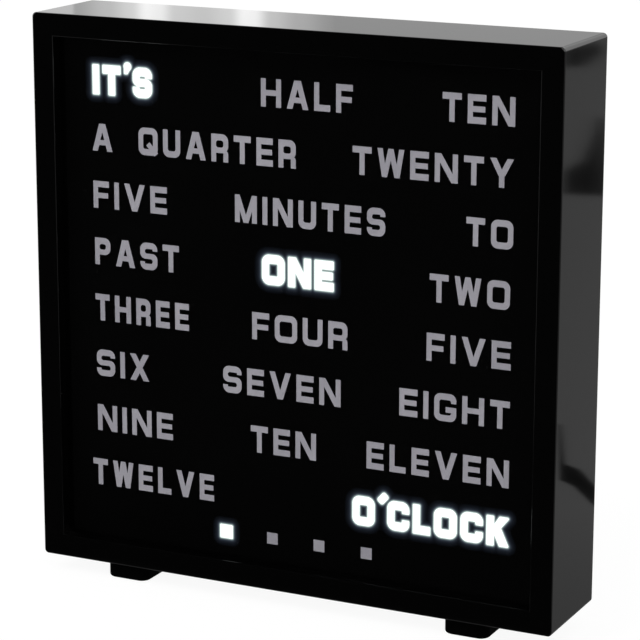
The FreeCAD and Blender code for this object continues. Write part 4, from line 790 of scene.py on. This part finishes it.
# each step of the outline, in millimetres: distance from the minus end, radius, and what it is made of
CELL_OUTLINE = [
    (0.20, 0.0, STEEL),
    (0.20, 5.3, STEEL),
    (0.45, 5.7, STEEL),
    (0.45, 6.1, BODY_SLEEVE),
    (0.12, 6.35, BODY_SLEEVE),
    (0.0, 6.65, BODY_SLEEVE),
    (0.08, 6.95, BODY_SLEEVE),
    (0.30, 7.16, BODY_SLEEVE),
    (0.62, 7.23, BODY_SLEEVE),
    (36.2, 7.23, BAND_EDGE),
    (36.9, 7.23, END_BAND),
    (48.88, 7.23, END_BAND),
    (49.2, 7.16, END_BAND),
    (49.42, 6.95, END_BAND),
    (49.5, 6.65, END_BAND),
    (49.38, 6.35, END_BAND),
    (49.05, 6.1, STEEL),
    (49.05, 5.6, STEEL),
    (49.2, 5.4, STEEL),
    (49.2, 2.95, STEEL),
    (49.3, 2.75, STEEL),
    (50.25, 2.72, STEEL),
    (50.44, 2.62, STEEL),
    (50.5, 2.4, STEEL),
    (50.5, 0.0, STEEL),
]
cells_low, cells_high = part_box("battery_cells")
cell_radius = (cells_high.y - cells_low.y) / 2
cell_pitch = (cells_high.z - cells_low.z - 2 * cell_radius) / (CELL_COUNT - 1)


def battery_cell(shape, minus_end, direction, height, depth):
    """Turn the outline of a cell into its surface, pointing along x."""
    circles = []
    for along, radius, _ in CELL_OUTLINE:
        x = minus_end + direction * along * MM
        if radius == 0.0:
            circles.append([shape.verts.new((x, depth, height))])
            continue
        circle = []
        for side in range(CELL_SIDES):
            angle = 2 * math.pi * side / CELL_SIDES
            y = depth + radius * MM * math.cos(angle)
            z = height + radius * MM * math.sin(angle)
            circle.append(shape.verts.new((x, y, z)))
        circles.append(circle)
    for (_, _, finish), before, after in zip(CELL_OUTLINE, circles, circles[1:]):
        for side in range(CELL_SIDES):
            following = (side + 1) % CELL_SIDES
            if len(before) == 1:
                corners = [before[0], after[following], after[side]]
            elif len(after) == 1:
                corners = [before[side], before[following], after[0]]
            else:
                corners = [before[side], before[following], after[following], after[side]]
            face = shape.faces.new(corners)
            face.material_index = finish
            face.smooth = True


cell_mesh = bpy.data.meshes.new("battery_cells_sleeved")
shape = bmesh.new()
for number in range(CELL_COUNT):
    direction = 1 if number % 2 == 0 else -1
    height = cells_low.z + cell_radius + cell_pitch * number
    depth = (cells_low.y + cells_high.y) / 2
    battery_cell(shape, direction * (cells_high.x - CELL_LENGTH), direction, height, depth)
bmesh.ops.recalc_face_normals(shape, faces=shape.faces[:])
shape.to_mesh(cell_mesh)
shape.free()
# in the order of the four finishes: satin plated steel, then sleeve film printed in three glossy inks
cell_mesh.materials.append(worked_metal("plated_steel_can", "#CFCDC6", 0.28, 0.4 * MM, (0.2, 1.0, 1.0)))
for name, colour, tint in (
    ("printed_sleeve_green", "#3F7C61", 0.05),
    ("printed_sleeve_silver", "#A9ADB2", 0.05),
    ("printed_sleeve_white", "#E2E3E1", 0.03),
):
    film = moulded_plastic(name, colour, roughness=0.28, grain=4.0 * MM, depth=0.02 * MM, tint=tint)
    cell_mesh.materials.append(film)
cells = link_mesh("battery_cells_sleeved", cell_mesh)
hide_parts("battery_cells")
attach(cells, "clock")

# ---------------------------------------------------------------- feet

# Moulded rubber blocks, matt black, with the fine sandy grain that keeps them from slipping. Two screws
# go down into each, through the lower wall of the case.
foot_rubber = moulded_plastic(
    "moulded_black_rubber", "#020202", roughness=0.6, grain=0.4 * MM, depth=0.04 * MM, ior=1.085
)
for name in ("left_foot", "right_foot"):
    dress(name, foot_rubber)

# ---------------------------------------------------------------- studio

# A pale floor that runs out of sight, a white surround, and large soft lamps. The floor keeps a faint
# shadow under the clock.
MIDDLE = Vector((0, 0, 0.09))


def soft_lamp(name, place, width, height, power):
    """A flat lamp that faces the middle of the clock."""
    lamp = bpy.data.lights.new(name, "AREA")
    lamp.shape = "RECTANGLE"
    lamp.size = width
    lamp.size_y = height
    lamp.energy = power
    held = bpy.data.objects.new(name, lamp)
    held.location = place
    held.rotation_euler = (MIDDLE - Vector(place)).to_track_quat("-Z", "Y").to_euler()
    scene.collection.objects.link(held)
    return held


def flat_shape(name, corners, material):
    """A flat piece of the studio through the given corners."""
    mesh = bpy.data.meshes.new(name)
    mesh.from_pydata(corners, [], [range(len(corners))])
    mesh.materials.append(material)
    piece = link_mesh(name, mesh)


def only_in_reflections(tree, shader):
    """Finish a material that reflections show and all else passes through."""
    clear = add_node(tree, "ShaderNodeBsdfTransparent", {"Color": WHITE})
    rays = add_node(tree, "ShaderNodeLightPath")
    mix = add_node(
        tree,
        "ShaderNodeMixShader",
        {"Fac": rays.outputs["Is Glossy Ray"], 1: clear.outputs["BSDF"], 2: shader},
    )
    add_node(tree, "ShaderNodeOutputMaterial", {"Surface": mix.outputs["Shader"]})


# The floor is white to the camera. In reflections it is a dim grey with a painted shadow, a little darker
# close to the clock, and black in a wedge that opens out in front of the clock, where the room is dark.
FLOOR_REACH = 8.0
FIBRE = 2.5 * MM
CAMERA_WHITE = 1.06  # over white, to make up for the paper that is mixed in
CAMERA_SHARE = 0.88  # the rest of what the camera sees is the paper itself, with the clock's shadow
WEDGE_HALF_WIDTH = 0.1
WEDGE_SLOPE = 1.2  # how far the wedge's sides run forward for each metre outward
BLACK_FROM, GREY_FROM = -0.034, -0.012
BLACK_LIGHT, GREY_LIGHT = 0.015, 0.26
PAINTED_SHADOW_INNER, PAINTED_SHADOW_OUTER = 0.09, 0.17
PAINTED_SHADOW_SHARE = 0.78
paper, tree = new_material("matt_white_paper")
place = add_node(tree, "ShaderNodeTexCoord").outputs["Object"]
fibre = add_node(tree, "ShaderNodeTexNoise", {"Vector": place, "Scale": 1 / FIBRE, "Detail": 2.0})
paper_shade = add_node(
    tree, "ShaderNodeMapRange", {"Value": fibre.outputs["Fac"], "To Min": 0.80, "To Max": 0.82}
)
paper_colour = add_node(
    tree, "ShaderNodeCombineColor", dict.fromkeys(("Red", "Green", "Blue"), paper_shade.outputs["Result"])
)
matt = add_node(tree, "ShaderNodeBsdfDiffuse", {"Color": paper_colour.outputs["Color"]})
along = add_node(tree, "ShaderNodeSeparateXYZ", {"Vector": place})
beside = add_node(tree, "ShaderNodeMath", {0: along.outputs["X"]}, operation="ABSOLUTE")
past_corner = add_node(
    tree,
    "ShaderNodeMapRange",
    {
        "Value": beside.outputs["Value"],
        "From Min": WEDGE_HALF_WIDTH,
        "From Max": WEDGE_HALF_WIDTH + 1,
        "To Min": 0.0,
        "To Max": WEDGE_SLOPE,
    },
)
wedge = add_node(
    tree, "ShaderNodeMath", {0: along.outputs["Y"], 1: past_corner.outputs["Result"]}, operation="ADD"
)
fading = add_node(
    tree,
    "ShaderNodeMapRange",
    {
        "Value": wedge.outputs["Value"],
        "From Min": BLACK_FROM,
        "From Max": GREY_FROM,
        "To Min": BLACK_LIGHT,
        "To Max": GREY_LIGHT,
    },
    interpolation_type="SMOOTHSTEP",
)
# painted shadow: in reflections the floor is darker close to the clock
away = add_node(tree, "ShaderNodeVectorMath", {0: place}, operation="LENGTH")
painted_floor_shadow = add_node(
    tree,
    "ShaderNodeMapRange",
    {
        "Value": away.outputs["Value"],
        "From Min": PAINTED_SHADOW_INNER,
        "From Max": PAINTED_SHADOW_OUTER,
        "To Min": PAINTED_SHADOW_SHARE,
        "To Max": 1.0,
    },
)
mirror_light = add_node(
    tree,
    "ShaderNodeMath",
    {0: fading.outputs["Result"], 1: painted_floor_shadow.outputs["Result"]},
    operation="MULTIPLY",
)
rays = add_node(tree, "ShaderNodeLightPath")
to_camera = add_node(
    tree, "ShaderNodeMath", {0: rays.outputs["Is Camera Ray"], 1: CAMERA_WHITE}, operation="MULTIPLY"
)
strength = add_node(
    tree,
    "ShaderNodeMath",
    {0: to_camera.outputs["Value"], 1: mirror_light.outputs["Value"]},
    operation="MAXIMUM",
)
white = add_node(tree, "ShaderNodeEmission", {"Color": WHITE, "Strength": strength.outputs["Value"]})
seen = add_node(
    tree, "ShaderNodeMath", {0: rays.outputs["Is Camera Ray"], 1: CAMERA_SHARE}, operation="MULTIPLY"
)
mirrored = add_node(
    tree,
    "ShaderNodeMath",
    {0: seen.outputs["Value"], 1: rays.outputs["Is Glossy Ray"]},
    operation="MAXIMUM",
)
seen_all = add_node(
    tree,
    "ShaderNodeMath",
    {0: mirrored.outputs["Value"], 1: rays.outputs["Is Transmission Ray"]},
    operation="MAXIMUM",
)
paper_mix = add_node(
    tree,
    "ShaderNodeMixShader",
    {"Fac": seen_all.outputs["Value"], 1: matt.outputs["BSDF"], 2: white.outputs["Emission"]},
)
add_node(tree, "ShaderNodeOutputMaterial", {"Surface": paper_mix.outputs["Shader"]})
floor_corners = [(x * FLOOR_REACH, y * FLOOR_REACH, 0) for x, y in ((-1, -1), (1, -1), (1, 1), (-1, 1))]
flat_shape("floor", floor_corners, paper)

# Black velvet flags lie out of the picture, where the right side of the case mirrors them, and two black
# curtains hang in front on the left, where the bezel's inner edges do. Their pile swallows the light.
PILE_PER_METRE = 900.0
FLAG_HEIGHT = 2 * MM
FLAGS = {
    "near_flag": (
        (0.162, 0.196), (0.161, 0.197), (0.142, 0.151), (0.135, 0.147),
        (0.122, 0.129), (0.115, 0.109), (0.130, 0.128), (0.137, 0.133),
    ),
    "middle_flag": (
        (0.338, 0.662), (0.341, 0.701), (0.359, 0.764), (0.384, 0.847),
        (0.373, 0.836), (0.292, 0.609), (0.316, 0.603),
    ),
    "far_flag": ((0.514, 1.118), (0.499, 1.161), (0.480, 1.112), (0.466, 1.042), (0.479, 1.025)),
}
CURTAINS = {
    "front_curtain": ((-1.6, -1.9, 0.0), (-0.35, -1.9, 0.0), (-0.35, -1.9, 1.6), (-1.6, -1.9, 1.6)),
    "top_curtain": ((-1.9, -1.9, 1.6), (-0.35, -1.9, 1.6), (-0.35, 0.3, 2.4), (-1.9, 0.3, 2.4)),
}
velvet, tree = new_material("black_velvet_flag")
place = add_node(tree, "ShaderNodeTexCoord").outputs["Object"]
pile = add_node(tree, "ShaderNodeTexNoise", {"Vector": place, "Scale": PILE_PER_METRE, "Detail": 2.0})
pile_shade = add_node(
    tree, "ShaderNodeMapRange", {"Value": pile.outputs["Fac"], "To Min": 0.01, "To Max": 0.03}
)
pile_colour = add_node(
    tree, "ShaderNodeCombineColor", dict.fromkeys(("Red", "Green", "Blue"), pile_shade.outputs["Result"])
)
dark = add_node(tree, "ShaderNodeBsdfDiffuse", {"Color": pile_colour.outputs["Color"]})
only_in_reflections(tree, dark.outputs["BSDF"])
for name, outline in FLAGS.items():
    flat_shape(name, [(x, y, FLAG_HEIGHT) for x, y in outline], velvet)
for name, corners in CURTAINS.items():
    flat_shape(name, corners, velvet)

# One tall soft box stands behind the clock on the left, where the top mirrors it. Its two tubes show as
# brighter bands through the cloth. A grey board stands beside it and carries its reflection on; its grey
# is a painted glow, seen only in reflections.
BOX_WIDTH = 0.23
BOX_HEIGHT = 0.8
BOX_PLACE = Vector((-0.79, 1.39, 0.0))
BOX_SIDE = Vector((0.877, 0.480, 0.0))
BOX_STRENGTH = 1.8
BOX_LEFT_EDGE, BOX_RIGHT_EDGE = 0.38, 0.33
BOX_BANDS = (
    (0.13, 0.54), (0.22, 0.70), (0.28, 1.0), (0.33, 0.94), (0.39, 0.66), (0.50, 0.61),
    (0.60, 0.70), (0.655, 1.0), (0.695, 0.98), (0.76, 0.60), (0.87, 0.45),
)
BOARD_WIDTH = 0.6
BOARD_STRENGTH = 0.56


def upright(start, end):
    """The corners of an upright sheet between two distances to the right of the soft box's middle."""
    ends = ((start, 0), (end, 0), (end, 1), (start, 1))
    return [BOX_PLACE + BOX_SIDE * reach + Vector((0, 0, BOX_HEIGHT * up)) for reach, up in ends]


cloth, tree = new_material("soft_box_cloth")
place = add_node(tree, "ShaderNodeTexCoord").outputs["Generated"]
across = add_node(tree, "ShaderNodeSeparateXYZ", {"Vector": place})
bands = add_node(tree, "ShaderNodeValToRGB", {"Fac": across.outputs["X"]})
bands.color_ramp.interpolation = "EASE"
bands.color_ramp.elements[0].color = (BOX_LEFT_EDGE, BOX_LEFT_EDGE, BOX_LEFT_EDGE, 1)
bands.color_ramp.elements[1].color = (BOX_RIGHT_EDGE, BOX_RIGHT_EDGE, BOX_RIGHT_EDGE, 1)
for spot, level in BOX_BANDS:
    bands.color_ramp.elements.new(spot).color = (level, level, level, 1)
lit_cloth = add_node(
    tree, "ShaderNodeEmission", {"Color": bands.outputs["Color"], "Strength": BOX_STRENGTH}
)
only_in_reflections(tree, lit_cloth.outputs["Emission"])

# painted glow: the board shines grey by itself, where a real board would reflect the soft box
glowing_grey_board, tree = new_material("grey_board_painted_glow")
board_glow = add_node(tree, "ShaderNodeEmission", {"Color": WHITE, "Strength": BOARD_STRENGTH})
only_in_reflections(tree, board_glow.outputs["Emission"])
flat_shape("grey_card", upright(BOX_WIDTH / 2, BOX_WIDTH / 2 + BOARD_WIDTH), glowing_grey_board)
flat_shape("soft_box", upright(-BOX_WIDTH / 2, BOX_WIDTH / 2), cloth)

# the surround lights the clock evenly, and is white wherever it is seen
WORLD_FILL = 0.45
world = bpy.data.worlds.new("white_surround")
scene.world = world
world.use_nodes = True
tree = world.node_tree
tree.nodes.clear()
rays = add_node(tree, "ShaderNodeLightPath")
seen = add_node(
    tree,
    "ShaderNodeMath",
    {0: rays.outputs["Is Camera Ray"], 1: rays.outputs["Is Glossy Ray"]},
    operation="MAXIMUM",
)
seen_all = add_node(
    tree,
    "ShaderNodeMath",
    {0: seen.outputs["Value"], 1: rays.outputs["Is Transmission Ray"]},
    operation="MAXIMUM",
)
fill = add_node(tree, "ShaderNodeBackground", {"Color": WHITE, "Strength": WORLD_FILL})
white = add_node(tree, "ShaderNodeBackground", {"Color": WHITE, "Strength": 1.0})
surround = add_node(
    tree,
    "ShaderNodeMixShader",
    {"Fac": seen_all.outputs["Value"], 1: fill.outputs["Background"], 2: white.outputs["Background"]},
)
add_node(tree, "ShaderNodeOutputWorld", {"Surface": surround.outputs["Shader"]})

# the key lamp lights the front but is kept out of reflections, where the bezel would mirror it
key_lamp = soft_lamp("key_lamp", (-0.9, -1.3, 1.5), width=1.2, height=1.2, power=22)
key_lamp.visible_glossy = False
soft_lamp("side_lamp", (1.6, -0.6, 0.9), width=0.9, height=0.9, power=8)
soft_lamp("back_lamp", (0.4, 1.7, 1.4), width=1.2, height=0.8, power=10)
